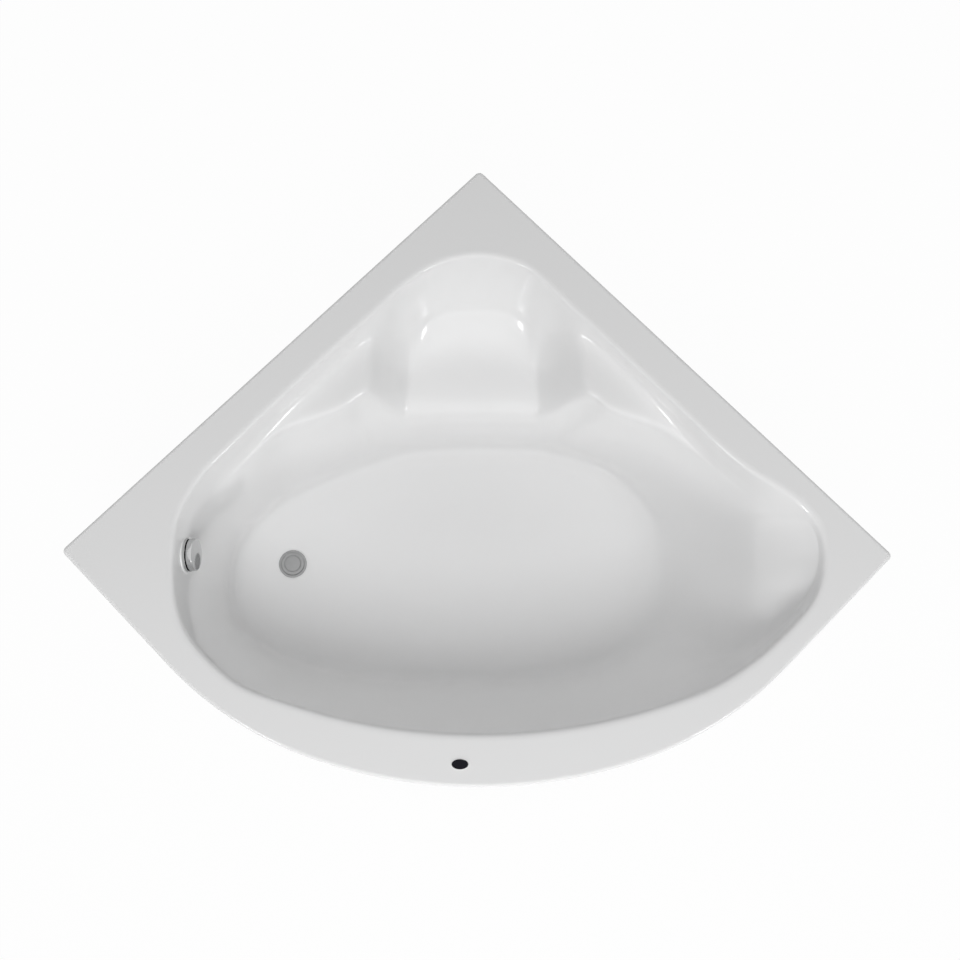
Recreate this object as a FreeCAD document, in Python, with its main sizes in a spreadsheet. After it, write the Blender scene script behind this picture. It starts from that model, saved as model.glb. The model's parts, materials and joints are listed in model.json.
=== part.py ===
"""Corner bathtub: acrylic shell on a welded frame, with panel, levelling feet and pop-up waste.

Millimetres, +Z up, +Y towards the room's corner, -Y towards the open front, drain at -X.
The origin is on the floor, under the middle of the object.  Plan places are given from the
middle of the line between the two side corners, and heights of the basin down from the deck.
"""
import FreeCAD, Part
import Sketcher
import math
import os
import re

App = FreeCAD
Vec = App.Vector
ROOT2 = math.sqrt(2)

doc = App.newDocument("corner_bathtub")

# ---------------------------------------------------------------- driving sizes

SIZES = (
    # shell
    ("wall_side", 1350, "side of the square that stands in the room's corner"),
    ("deck_height", 600, "top of the deck above the floor"),
    ("front_reach", 524, "front edge beyond the line between the side corners"),
    ("cheek_length", 368, "straight part of each side beside the wall"),
    ("corner_round", 13, "rounding of the three square corners in plan"),
    ("shell_wall", 5, "thickness of the acrylic shell"),
    ("lip_height", 30, "outer lip that hangs from the deck"),
    ("lip_round", 8, "rounding of the deck's outer edge"),
    ("rim_left", 86, "deck width along the left wall"),
    ("rim_right", 94, "deck width along the right wall"),
    ("rim_front", 113, "deck width at the front"),
    ("back_radius", 235, "plan radius of the basin behind the seat"),
    ("edge_round", 13, "rounding of the basin's edge"),
    ("floor_top", 170, "basin floor above the ground"),
    ("niche_depth", 228, "deck to seat"),
    ("arm_depth", 66, "deck to left armrest"),
    ("right_arm_depth", 56, "deck to right armrest"),
    ("shoulder_depth", 120, "deck to the top of the backrest"),
    ("step_fillet", 12, "softness of the seat's and armrests' edges"),
    # boards, frame and battens
    ("board_thickness", 18, "boards bonded under the floor and the seat"),
    ("board_corner", 90, "corner radius of the floor board"),
    ("board_length", 620, "floor board, side to side"),
    ("board_width", 340, "floor board, front to back"),
    ("board_left", 380, "floor board's left edge from the middle"),
    ("board_front", 90, "floor board's front edge before the corner line"),
    ("niche_board_length", 220, "seat board, side to side"),
    ("niche_board_width", 90, "seat board, front to back"),
    ("rail_size", 25, "square tube"),
    ("rail_wall", 2, "wall of the square tube"),
    ("rail_line", 45, "long rail's axis before the corner line"),
    ("left_post", 830, "left post from the middle"),
    ("right_post", 850, "right post from the middle"),
    ("back_post", 850, "back post behind the corner line"),
    ("front_post_inset", 59, "front post behind the front edge"),
    ("niche_post", 510, "seat post behind the corner line"),
    ("cap_height", 5, "plastic cap on a post"),
    ("batten_width", 25, "wooden batten under the deck"),
    ("batten_height", 30, "wooden batten under the deck"),
    ("batten_gap", 8, "batten from the wall"),
    ("batten_start", 200, "battens' first end from the room's corner"),
    ("batten_length", 850, "wooden batten under the deck"),
    ("bracket_steel", 3, "wall bracket's thickness"),
    ("bracket_drop", 60, "wall bracket's leg"),
    ("bracket_width", 60, "wall bracket along the wall"),
    ("bracket_hole", 3.5, "radius of the wall bracket's hole"),
    ("bracket_first", 330, "first wall bracket from the room's corner"),
    ("bracket_second", 920, "second wall bracket from the room's corner"),
    # feet
    ("foot_inset", 50, "outer feet inward from their posts"),
    ("stud_radius", 6, "levelling stud"),
    ("stud_top", 128, "levelling stud's end above the floor"),
    ("pad_radius", 25, "levelling pad"),
    ("pad_height", 12, "levelling pad"),
    ("pad_sole", 4, "pad under its stud"),
    ("nut_radius", 10, "lock nut over its corners"),
    ("nut_height", 9, "lock nut"),
    # panel
    ("panel_inset", 14, "panel behind the lip's face"),
    ("panel_wall", 4, "front panel"),
    ("panel_foot", 30, "panel's lower edge above the floor"),
    ("panel_head", 6, "panel's upper edge below the deck's underside"),
    ("panel_end", 8, "panel's end from the wall"),
    ("corner_batten", 30, "square batten behind each end of the panel"),
    ("clip_width", 40, "panel clip on the front post"),
    ("clip_height", 20, "panel clip on the front post"),
    ("clip_steel", 3, "panel clip"),
    ("screw_radius", 2.5, "screws"),
    ("screw_length", 22, "screws"),
    ("head_radius", 6, "screw heads"),
    ("head_height", 2.5, "screw heads"),
    ("badge_length", 40, "plain oval badge on the front deck"),
    ("badge_width", 25, "plain oval badge on the front deck"),
    ("badge_height", 1.5, "plain oval badge on the front deck"),
    ("badge_left", 35, "badge left of the middle"),
    ("badge_inset", 49, "badge's middle from the front edge"),
    # drain
    ("drain_left", 479, "drain left of the middle"),
    ("drain_back", 49, "drain behind the corner line"),
    ("drain_bore", 26, "radius of the shell's drain hole"),
    ("flange_radius", 36, "drain flange"),
    ("flange_height", 2.5, "drain flange above the floor"),
    ("skirt_radius", 24.5, "threaded skirt of the flange"),
    ("skirt_wall", 3, "threaded skirt of the flange"),
    ("skirt_depth", 30, "skirt below the basin floor"),
    ("guide_radius", 8, "stem guide inside the skirt"),
    ("guide_height", 12, "stem guide inside the skirt"),
    ("seal_height", 4, "rubber seals"),
    ("collar_radius", 37, "drain body's collar"),
    ("collar_height", 6, "drain body's collar"),
    ("cup_radius", 31, "drain body"),
    ("cup_wall", 4, "drain body"),
    ("cup_depth", 66, "drain body below its seal"),
    ("plug_radius", 30, "plug's chrome cap"),
    ("plug_height", 4.5, "plug's chrome cap"),
    ("plug_round", 2, "rounding of the cap's upper edge"),
    ("plug_gap", 0.5, "closed cap above its flange"),
    ("plug_lift", 8, "plug's travel"),
    ("stem_radius", 4, "plug's stem"),
    ("lever_arm", 14, "lift lever from its shaft to the stem"),
    ("lever_tip", 4, "radius of the lift lever's tip"),
    ("lever_gap", 0.3, "lowered tip below the stem"),
    ("arm_height", 3.6, "lift lever's arm"),
    ("shaft_radius", 3, "lift lever's shaft"),
    ("shaft_over", 1.5, "lift lever's shaft beyond its crank"),
    ("gland_radius", 7.5, "drain body round the lift lever's shaft"),
    ("crank_length", 16, "lift lever's outer crank"),
    ("crank_gap", 20, "cable's end before the lift lever's shaft"),
    # trap
    ("spigot_radius", 20, "outlet spigot, trap and outlet pipe"),
    ("pipe_wall", 3, "outlet spigot, trap and outlet pipe"),
    ("spigot_length", 18, "outlet spigot below the drain body"),
    ("trap_nut_radius", 27, "union nuts"),
    ("trap_nut_height", 20, "union nuts"),
    ("trap_radius", 34, "centreline radius of the trap's bends"),
    ("trap_bottom", 30, "trap's lowest axis above the floor"),
    ("outlet_level", 115, "outlet pipe's axis above the floor"),
    ("trap_end", 560, "trap's end left of the middle"),
    ("outlet_end", 760, "outlet pipe's end left of the middle"),
    ("socket_depth", 40, "socket at the outlet pipe's end"),
    ("socket_gap", 0.1, "radial room in the socket for a pipe of the same size"),
    # overflow
    ("overflow_drop", 90, "overflow's centre below the deck"),
    ("overflow_back", 8, "overflow behind the corner line"),
    ("boss_proud", 2.5, "moulded overflow boss inside the wall"),
    ("boss_radius", 44, "moulded overflow boss"),
    ("boss_back", 4, "moulded overflow boss behind the wall"),
    ("overflow_bore", 25.5, "radius of the shell's overflow hole"),
    ("rosette_radius", 40, "overflow rosette"),
    ("rosette_height", 5, "overflow rosette"),
    ("neck_radius", 24, "rosette's threaded neck"),
    ("neck_wall", 3, "rosette's threaded neck"),
    ("neck_depth", 25, "rosette's threaded neck behind its face"),
    ("knob_radius", 38, "overflow knob"),
    ("knob_height", 15, "overflow knob"),
    ("knob_gap", 2.5, "water gap between rosette and knob"),
    ("knob_wall", 3, "overflow knob"),
    ("knob_round", 3, "rounding of the knob's and rosette's edges"),
    ("hub_radius", 9, "hubs on the spindle"),
    ("spindle_radius", 5, "overflow spindle"),
    ("elbow_radius", 31, "overflow body behind the wall"),
    ("elbow_wall", 4, "overflow body"),
    ("elbow_depth", 40, "overflow body behind its seal"),
    ("tail_length", 24, "overflow body's tail beyond its cup"),
    ("overflow_pipe", 16, "overflow pipe"),
    ("overflow_wall", 2, "overflow pipe"),
    ("pipe_bend", 80, "centreline radius of the overflow pipe's bend"),
    ("inlet_level", 130, "overflow inlet's axis above the floor"),
    ("inlet_length", 22, "overflow inlet beyond the cup"),
    ("cam_length", 22, "cam on the spindle that pulls the cable"),
    ("cam_height", 4, "cam on the spindle"),
    ("cable_radius", 3, "control cable"),
    ("cable_seat", 18, "cable's upper end below the overflow's centre"),
    ("cable_aside", 24, "cable in front of the overflow pipe"),
    ("cable_behind", 40, "cable behind the wall's face"),
    ("cable_bend", 60, "bend radius of the cable"),
    ("clip_band", 10, "cable clips along the pipe"),
    ("clip_first", 110, "upper cable clip below the overflow"),
    ("clip_second", 230, "lower cable clip below the overflow"),
    # fits
    ("running", 0.06, "radial clearance of a turning or sliding fit"),
    ("loose", 0.5, "clearance of a hole that only lets through"),
    ("near", 0.3, "gap beside a curved neighbour"),
)

LEVELS = (
    ("reach", "wall_side / sqrt(2)", "room's corner behind the corner line"),
    ("tip_loss", "corner_round * (sqrt(2) - 1)", "what the rounding takes off a corner"),
    ("line_y", "(front_reach - wall_side / sqrt(2) + corner_round * (sqrt(2) - 1)) / 2",
     "corner line in the object's frame"),
    ("deck_under", "deck_height - shell_wall", "deck's underside"),
    ("basin_depth", "deck_height - floor_top", "deck to basin floor"),
    ("floor_under", "floor_top - shell_wall", "basin floor's underside"),
    ("rail_top", "floor_top - shell_wall - board_thickness", "rails' upper face"),
    ("rail_under", "floor_top - shell_wall - board_thickness - rail_size", "rails' lower face"),
    ("front_post", "front_reach - front_post_inset", "front post before the corner line"),
    ("niche_under", "deck_height - niche_depth - shell_wall - near",
     "seat's underside, with the bed of resin over its board"),
)

HOMES = {alias: "sizes." for alias, _, _ in SIZES}
HOMES.update({alias: "levels." for alias, _, _ in LEVELS})


def spell(text):
    """Turn plain size names into references to the sheets' cells."""
    return re.sub(r"[a-z_]\w*", lambda word: HOMES.get(word.group(), "") + word.group(), str(text))


def fill_sheet(name, rows, write):
    """Make a sheet with a note, a cell and an alias for each row."""
    made = doc.addObject("Spreadsheet::Sheet", name)
    for number, (alias, value, note) in enumerate(rows, start=1):
        made.set("A%d" % number, note)
        made.set("B%d" % number, write(value))
        made.setAlias("B%d" % number, alias)
    doc.recompute()
    return made


sheet = fill_sheet("sizes", SIZES, str)
levels = fill_sheet("levels", LEVELS, lambda text: "=" + spell(text))


def size(alias):
    """A driving or derived size as a number."""
    return float(getattr(sheet if HOMES[alias] == "sizes." else levels, alias))


# ---------------------------------------------------------------- building helpers

pieces = []


def bound(kind, name, **sizes):
    """Add an object whose properties follow size expressions."""
    made = doc.addObject(kind, name)
    for prop, text in sizes.items():
        made.setExpression(prop, spell(text))
    return made


def put(thing, at=(0, 0, 0), turn=None):
    """Place an object by expressions, with an optional fixed rotation."""
    thing.Placement = App.Placement(Vec(0, 0, 0), turn or App.Rotation())
    for axis, text in zip("xyz", at):
        thing.setExpression("Placement.Base." + axis, spell(text))
    return thing


def box(name, extent, at=(0, 0, 0), turn=None):
    """A box from its lowest corner."""
    length, width, height = extent
    return put(bound("Part::Box", name, Length=length, Width=width, Height=height), at, turn)


def rod(name, radius, height, at=(0, 0, 0), turn=None):
    """A cylinder from the middle of its base."""
    return put(bound("Part::Cylinder", name, Radius=radius, Height=height), at, turn)


def hexagon(name, radius, height, at=(0, 0, 0), turn=None):
    """A hexagonal prism from the middle of its base."""
    return put(bound("Part::Prism", name, Circumradius=radius, Height=height), at, turn)


def joined(name, *shapes):
    """Several shapes fused into one."""
    made = doc.addObject("Part::MultiFuse", name)
    made.Shapes = list(shapes)
    return made


def together(name, *shapes):
    """Several separate solids kept as one group."""
    made = doc.addObject("Part::Compound", name)
    made.Links = list(shapes)
    return made


def cut(name, base, *tools):
    """A shape with one or more others taken out of it."""
    made = doc.addObject("Part::Cut", name)
    made.Base = base
    made.Tool = tools[0] if len(tools) == 1 else joined(name + "_tools", *tools)
    return made


def rounded(name, base, alias, pick):
    """Fillet the edges of a shape for which pick is true."""
    doc.recompute()
    made = doc.addObject("Part::Fillet", name)
    made.Base = base
    radius = size(alias)
    made.Edges = [(number, radius, radius)
                  for number, edge in enumerate(base.Shape.Edges, start=1) if pick(edge)]
    return made


def solid(name, shape):
    """An object that holds a shape worked out here."""
    made = doc.addObject("Part::Feature", name)
    made.Shape = shape
    return made


def piece(thing, label):
    """Give a finished sub-part the label that names its file."""
    thing.Label = label
    pieces.append(thing)
    return thing


def plan(x, y, z=0.0):
    """A point given from the corner line, in the object's frame."""
    return Vec(x, y + size("line_y"), z)


# ---------------------------------------------------------------- plan outline

def front_arcs():
    """Centres and radii of the side arcs and the front arc that continue the straight cheeks."""
    half = size("cheek_length") / ROOT2
    start = Vec(size("reach") - half, -half, 0)
    finish = Vec(0, -size("front_reach"), 0)
    along, level = Vec(-1, -1, 0) / ROOT2, Vec(-1, 0, 0)
    span = finish - start
    a, b = 2 * (1 - along.dot(level)), 2 * span.dot(along + level)
    handle = (math.sqrt(b * b + 4 * a * span.dot(span)) - b) / (2 * a)
    first, second = start + along * handle, finish - level * handle
    turn = along.getAngle((second - first).normalize())
    side_radius = handle / math.tan(turn / 2)
    front_radius = handle / math.tan((math.pi / 4 - turn) / 2)
    side = start + Vec(-1, 1, 0) / ROOT2 * side_radius
    return start, side, side_radius, finish + Vec(0, front_radius, 0), front_radius


def arcs_meet(inset):
    """Where the right side arc meets the front arc, both set in from the outline."""
    _, side, side_radius, middle, front_radius = front_arcs()
    way = (side - middle).normalize() * math.copysign(1, front_radius - side_radius)
    return side + way * (side_radius - inset)


def front_distance(angle):
    """From the room's corner to the front edge, along a line at an angle to the middle."""
    _, side, side_radius, middle, front_radius = front_arcs()
    corner, meet = Vec(0, size("reach"), 0), arcs_meet(0)
    centre, radius = middle, front_radius
    if abs(angle) > math.atan2(meet.x, corner.y - meet.y):
        centre, radius = (side if angle > 0 else mirrored(side)), side_radius
    offset = centre - corner
    along = offset.dot(Vec(math.sin(angle), -math.cos(angle), 0))
    return along + math.sqrt(along * along - offset.dot(offset) + radius * radius)


def mirrored(point):
    """The same point on the other side of the middle."""
    return Vec(-point.x, point.y, point.z)


def arc_of(centre, radius, begin, end):
    """The shorter arc about a centre between two directions."""
    middle = begin.normalize() + end.normalize()
    points = [centre + way * radius for way in (begin, middle.normalize(), end)]
    return Part.Arc(*points).toShape()


def front_edges(inset, gap=0.0):
    """Edges from the right wall round the front to the left one, set in from the outline."""
    start, side, side_radius, middle, front_radius = front_arcs()
    inward = Vec(-1, 1, 0) / ROOT2
    cheek = start + inward * inset
    end = Vec(size("reach") - (inset + gap) / ROOT2, (inset - gap) / ROOT2, 0)
    joint = arcs_meet(inset)
    low = middle + Vec(0, -1, 0) * (front_radius - inset)
    bend = arc_of(side, side_radius - inset, cheek - side, joint - side)
    other = arc_of(mirrored(side), side_radius - inset, mirrored(joint) - mirrored(side),
                   mirrored(cheek) - mirrored(side))
    return [Part.LineSegment(end, cheek).toShape(), bend,
            Part.Arc(joint, low, mirrored(joint)).toShape(), other,
            Part.LineSegment(mirrored(cheek), mirrored(end)).toShape()]


def corner_arc(corner, first, second, radius):
    """Tangent points and middle of a rounded square corner."""
    heart = corner + (first + second) * radius
    return corner + first * radius, heart - (first + second) / ROOT2 * radius, corner + second * radius


def outline(inset, height):
    """The closed outline set in by a distance, at a height of the object's frame."""
    reach = size("reach") - inset * ROOT2
    radius = max(size("corner_round") - inset, size("corner_round") / 4)
    ways = {"up": Vec(-1, 1, 0) / ROOT2, "left": Vec(-1, -1, 0) / ROOT2}
    right = corner_arc(Vec(reach, 0, 0), ways["left"], ways["up"], radius)
    back = corner_arc(Vec(0, reach, 0), -ways["up"], ways["left"], radius)
    left = [mirrored(point) for point in reversed(right)]
    front = front_edges(inset)
    cheek = front[0].Vertexes[1].Point
    edges = [Part.LineSegment(right[0], cheek).toShape()] + front[1:4]
    edges += [Part.LineSegment(mirrored(cheek), left[2]).toShape()]
    edges += [Part.Arc(*reversed(left)).toShape(), Part.LineSegment(left[0], back[2]).toShape()]
    edges += [Part.Arc(*reversed(back)).toShape(), Part.LineSegment(back[0], right[2]).toShape()]
    edges += [Part.Arc(*reversed(right)).toShape()]
    wire = Part.Wire(Part.__sortEdges__(edges))
    wire.translate(plan(0, 0, height))
    return wire


# ---------------------------------------------------------------- basin

DESIGN_REACH = 1350 / ROOT2         # the hand-set stations below are for this reach
STEPS = 3                           # columns of the surface's net from one station to the next
FLOOR_CENTRE = (-95, 80)
WALL_SHARES = (0.22, 0.30)          # on a plain wall the step and ledge rows lie on the wall

# Round the basin from the back, by the left wall.  Each station gives the point on the basin's
# edge, the foot of the step below the deck, the ledge's edge, the foot of the lower wall, and the
# softness of that foot.  Where there is no seat, armrest or shoulder, the wall runs straight.
STATIONS = (
    (("back", 0), (-5, 628, "seat"), (-5, 402, "seat"), (-5, 372), 46),
    (("back", -17), (-78, 624, "seat"), (-80, 401, "seat"), (-85, 370), 46),
    (("back", -33), (-148, 602, "seat"), (-150, 399, "seat"), (-160, 364), 46),
    (("left", 352, 0), (-186, 562, "seat"), (-198, 397, "seat"), (-222, 350), 48),
    (("left", 415, 0), (-250, 535, "arm"), (-262, 402, "arm"), (-278, 330), 50),
    (("left", 510, 0), (-300, 510, "arm"), (-322, 362, "arm"), (-340, 306), 52),
    (("left", 640, 0), (-405, 405, "arm"), (-396, 331, "arm", 4), (-415, 270), 54),
    (("left", 770, 0), (-497, 313, "arm", 3), (-478, 300, "arm", 10), (-490, 232), 56),
    (("left", 890, 4), (-566, 240, "arm", 16), (-552, 232, "arm", 44), (-556, 176), 56),
    (("left", 1005, 10), None, None, (-604, 120), 56),
    (("free", -688, 85), None, None, (-626, 66), 56),
    (("free", -697, 10), None, None, (-632, 4), 56),
    (("free", -696, -62), None, None, (-626, -54), 60),
    (("free", -681, -138), None, None, (-600, -110), 66),
    (("free", -640, -212), None, None, (-548, -156), 74),
    (("front", -23.5, 44), None, None, (-468, -194), 84),
    (("front", -18.5, 24), None, None, (-368, -218), 92),
    (("front", -12.5, 10), None, None, (-240, -234), 98),
    (("front", -6.5, 3), None, None, (-110, -240), 100),
    (("front", 0, 0), None, None, (20, -238), 100),
    (("front", 6.5, 3), None, None, (140, -230), 104),
    (("front", 12.5, 10), None, None, (240, -212), 108),
    (("front", 18, 22), None, None, (322, -182), 112),
    (("front", 23.2, 42), None, None, (382, -138), 118),
    (("free", 634, -238), (618, -222, "shoulder", -50), (596, -205, "shoulder", 20), (425, -82), 122),
    (("free", 714, -166), (696, -156, "shoulder", -40), (655, -150, "shoulder", 6), (447, -30), 124),
    (("free", 770, -100), (750, -92, "shoulder", -44), (660, -78, "shoulder", 2), (455, 22), 124),
    (("free", 796, -28), (780, -24, "shoulder", -86), (661, -5, "shoulder"), (455, 80), 124),
    (("free", 795, 48), (780, 45, "shoulder", -94), (659, 65, "shoulder"), (447, 140), 122),
    (("free", 765, 106), (748, 97, "shoulder", -92), (652, 108, "shoulder"), (428, 198), 116),
    (("right", 1058, -24), (680, 142, "shoulder", -76), (640, 140, "shoulder", -4), (398, 250), 104),
    (("right", 985, -6), (622, 186, "shoulder", -42), (612, 178, "shoulder", -12), (356, 294), 90),
    (("right", 890, 2), (546, 256, "right_arm", 30), (538, 248, "right_arm", 48), (308, 326), 76),
    (("right", 770, 0), (466, 340, "right_arm", 6), (443, 312, "right_arm", 16), (262, 345), 62),
    (("right", 640, 0), (376, 430, "right_arm"), (362, 340, "right_arm", 4), (225, 356), 54),
    (("right", 515, 0), (290, 516, "right_arm"), (296, 372, "right_arm"), (196, 364), 50),
    (("right", 425, 0), (236, 540, "right_arm"), (250, 404, "right_arm"), (166, 369), 48),
    (("right", 352, 0), (168, 560, "seat"), (182, 398, "seat"), (128, 372), 47),
    (("back", 33), (130, 602, "seat"), (132, 400, "seat"), (92, 373), 46),
    (("back", 17), (68, 624, "seat"), (66, 402, "seat"), (48, 373), 46),
)


def growth():
    """How much larger the plan is than the one the stations were set for."""
    return size("reach") / DESIGN_REACH


def wall_point(side, along, inset):
    """A point beside the left (-1) or right (1) wall."""
    return (side * (along - inset) / ROOT2, size("reach") - (along + inset) / ROOT2)


def rim_point(kind, *place):
    """A point of the basin's edge in plan."""
    if kind in ("left", "right"):
        side = -1 if kind == "left" else 1
        return wall_point(side, place[0] * growth(), size("rim_" + kind) + place[1])
    if kind == "back":
        rim = (size("rim_left") + size("rim_right")) / 2
        centre = size("reach") - (rim + size("back_radius")) * ROOT2
        angle = math.radians(place[0])
        radius = size("back_radius")
        return (radius * math.sin(angle), centre + radius * math.cos(angle))
    if kind == "front":
        angle = math.radians(place[0])
        radius = front_distance(angle) - size("rim_front") + place[1]
        return (radius * math.sin(angle), size("reach") - radius * math.cos(angle))
    return (place[0] * growth(), place[1] * growth())


def basin_level(kind, more=0):
    """Height of a ledge below the deck."""
    depth = {"seat": "niche_depth", "arm": "arm_depth", "right_arm": "right_arm_depth",
             "shoulder": "shoulder_depth"}[kind]
    return -size(depth) - more


def mixed(first, second, share):
    """A point part of the way from one to another."""
    return tuple(a + (b - a) * share for a, b in zip(first, second))


def toward(first, second, distance, most):
    """A point at a distance from one towards another, but at most a share of the way."""
    gap = math.dist(first, second)
    return mixed(first, second, min(distance / gap, most))


def curve_through(p, q, r, t, share):
    """A point between q and r on a smooth curve through four points."""
    return tuple(0.5 * (2 * b + (c - a) * share + (2 * a - 5 * b + 4 * c - d) * share ** 2
                        + (3 * b - a - 3 * c + d) * share ** 3) for a, b, c, d in zip(p, q, r, t))


def stations():
    """Edge, step foot, ledge edge and wall foot of each station as points, and its softness."""
    rows = []
    for rim, step, ledge, foot, softness in STATIONS:
        edge = (*rim_point(*rim), 0.0)
        base = (foot[0] * growth(), foot[1] * growth(), -size("basin_depth"))
        if step is None:
            step, ledge = (mixed(edge, base, share) for share in WALL_SHARES)
        else:
            step, ledge = ((x * growth(), y * growth(), basin_level(*kind))
                           for x, y, *kind in (step, ledge))
        rows.append((edge, step, ledge, base, softness))
    return rows


def columns():
    """The stations with more columns between them, level steps easing in and out."""
    rows = stations()
    count = len(rows)
    made = []
    for number in range(count):
        near = [rows[(number + offset) % count] for offset in (-1, 0, 1, 2)]
        for step in range(STEPS):
            share = step / STEPS
            ease = share * share * (3 - 2 * share)
            points = []
            for part in range(4):
                four = [row[part] for row in near]
                x, y = curve_through(*[point[:2] for point in four], share)
                points.append((x, y, four[1][2] + (four[2][2] - four[1][2]) * ease))
            softness = near[1][4] + (near[2][4] - near[1][4]) * share
            made.append((points, softness))
    return made


def basin_net():
    """Control net of the basin's surface: one column of points after another."""
    cols = columns()
    count = len(cols)
    curl, soft = size("edge_round"), size("step_fillet")
    centre = (FLOOR_CENTRE[0] * growth(), FLOOR_CENTRE[1] * growth(), -size("basin_depth"))
    net = []
    for number, ((edge, step, ledge, foot), foot_soft) in enumerate(cols):
        before, after = cols[number - 1][0][0], cols[(number + 1) % count][0][0]
        run = math.hypot(after[0] - before[0], after[1] - before[1])
        out = ((after[1] - before[1]) / run, (before[0] - after[0]) / run)
        net.append([
            (edge[0] + out[0] * curl, edge[1] + out[1] * curl, 0.0),
            (edge[0] + out[0] * curl * 0.35, edge[1] + out[1] * curl * 0.35, 0.0),
            toward(edge, step, curl * 0.35, 0.2),
            toward(edge, step, curl * 1.3, 0.4),
            mixed(edge, step, 0.62),
            toward(step, edge, soft, 0.25),
            toward(step, ledge, soft, 0.3),
            mixed(step, ledge, 0.5),
            toward(ledge, step, soft, 0.3),
            toward(ledge, foot, soft, 0.15),
            mixed(ledge, foot, 0.38),
            toward(foot, ledge, foot_soft, 0.5),
            toward(foot, ledge, foot_soft * 0.35, 0.2),
            toward(foot, centre, foot_soft * 0.35, 0.2),
            toward(foot, centre, foot_soft, 0.5),
            mixed(foot, centre, 0.55),
            mixed(foot, centre, 0.66),
        ])
    return net


def under_net(net):
    """The same net moved out by the wall's thickness, flat where the net is flat."""
    wall = size("shell_wall")
    count, rows = len(net), len(net[0])
    made = []
    for i in range(count):
        column = []
        for j in range(rows):
            round_way = Vec(*net[(i + 1) % count][j]) - Vec(*net[i - 1][j])
            down_way = Vec(*net[i][min(j + 1, rows - 1)]) - Vec(*net[i][max(j - 1, 0)])
            normal = down_way.cross(round_way).normalize()
            if j == 0 or j > rows - 3:
                normal = Vec(0, 0, 1)
            normal = normal if normal.z >= 0 else -normal
            column.append(Vec(*net[i][j]) - normal * wall)
        made.append(column)
    return made


def net_face(net):
    """A smooth closed band through a net, with its ends on the first and last rows."""
    count, rows = len(net), len(net[0])
    shift = plan(0, 0, size("deck_height"))
    poles = [[Vec(*point) + shift for point in column] for column in net]
    surface = Part.BSplineSurface()
    surface.buildFromPolesMultsKnots(poles, [1] * (count + 1), [4] + [1] * (rows - 4) + [4],
                                     list(range(count + 1)), list(range(rows - 2)), True, False, 3, 3)
    return surface.toShape()


def ring_at(face, height):
    """The closed edge of a band that lies at a height."""
    rings = [edge for edge in face.Edges
             if edge.BoundBox.ZLength < 1e-6 and abs(edge.BoundBox.ZMin - height) < 1e-6]
    return Part.Wire(rings[:1])


def shell_blank():
    """The shell before its holes: deck with lip, and basin, of one thickness."""
    deck, under, wall = size("deck_height"), size("deck_under"), size("shell_wall")
    low = deck - size("lip_height")
    slab = Part.Face(outline(0, low)).extrude(Vec(0, 0, size("lip_height")))
    rim = [edge for edge in slab.Edges if abs(edge.BoundBox.ZMin - deck) < 1e-6]
    slab = slab.makeFillet(size("lip_round"), rim)
    tray = slab.cut(Part.Face(outline(wall, low)).extrude(Vec(0, 0, under - low)))
    net = basin_net()
    inside, outside = net_face(net), net_face(under_net(net))
    faces = [inside, outside]
    for face in tray.Faces:
        level = [height for height in (deck, under)
                 if face.BoundBox.ZLength < 1e-6 and abs(face.BoundBox.ZMin - height) < 1e-6]
        if level:
            ring = ring_at(inside if level[0] == deck else outside, level[0])
            face = Part.Face([face.OuterWire, ring])
            face.validate()
        faces.append(face)
    faces.append(Part.Face(ring_at(inside, size("floor_top"))))
    faces.append(Part.Face(ring_at(outside, size("floor_under"))))
    skin = Part.Shell(faces)
    skin.sewShape(1e-4)
    blank = Part.Solid(skin)
    if blank.Volume < 0:
        blank.reverse()
    return blank


# ---------------------------------------------------------------- directions of the waste

def waste_way():
    """Level direction from the overflow pipe to the drain, and the one across it."""
    foot = overflow_line(size("deck_height") - size("inlet_level"))
    way = Vec(-size("drain_left") - foot.x, size("drain_back") - foot.y, 0).normalize()
    return way, Vec(way.y, -way.x, 0)


def wall_line():
    """A point at deck level and the downward direction of the basin's wall at the overflow."""
    edge, _, _, foot, _ = stations()[11]
    down = (Vec(*foot) - Vec(*edge))
    down.y = 0
    down.normalize()
    top = Vec(edge[0], size("overflow_back"), 0)
    return top, down


def overflow_placement():
    """Overflow's frame: origin on the wall, Z into the basin, X down along the wall."""
    top, down = wall_line()
    heart = top + down * (size("overflow_drop") / -down.z)
    into = Vec(-down.z, 0, down.x)
    turn = App.Rotation(down, Vec(0, 1, 0), into, "ZXY")
    return App.Placement(plan(heart.x, heart.y, size("deck_height") + heart.z), turn)


def behind_wall():
    """Depth of the overflow body's axis behind the wall's face."""
    return (size("shell_wall") + size("boss_back") + size("seal_height")
            + size("elbow_depth") - size("elbow_wall") - size("overflow_pipe"))


def overflow_line(drop):
    """A point of the overflow pipe's upper run, down from the deck, from the corner line."""
    top, down = wall_line()
    into = Vec(-down.z, 0, down.x)
    start = top - into * behind_wall()
    return start + down * ((drop + start.z) / -down.z)


def drain_at(height):
    """The drain's axis at a height."""
    return plan(-size("drain_left"), size("drain_back"), height)


def lever_swing():
    """Angle that the lift lever turns through to raise the stem by the plug's travel."""
    return 2 * math.asin(size("plug_lift") / 2 / size("lever_arm"))


def lever_axle():
    """Middle of the lift lever's shaft, inside the drain body."""
    way, _ = waste_way()
    level = (size("floor_under") - size("seal_height") - size("cup_depth") + size("cup_wall")
             + size("lever_tip") + size("plug_lift"))
    return drain_at(level) - way * size("lever_arm")


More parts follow.
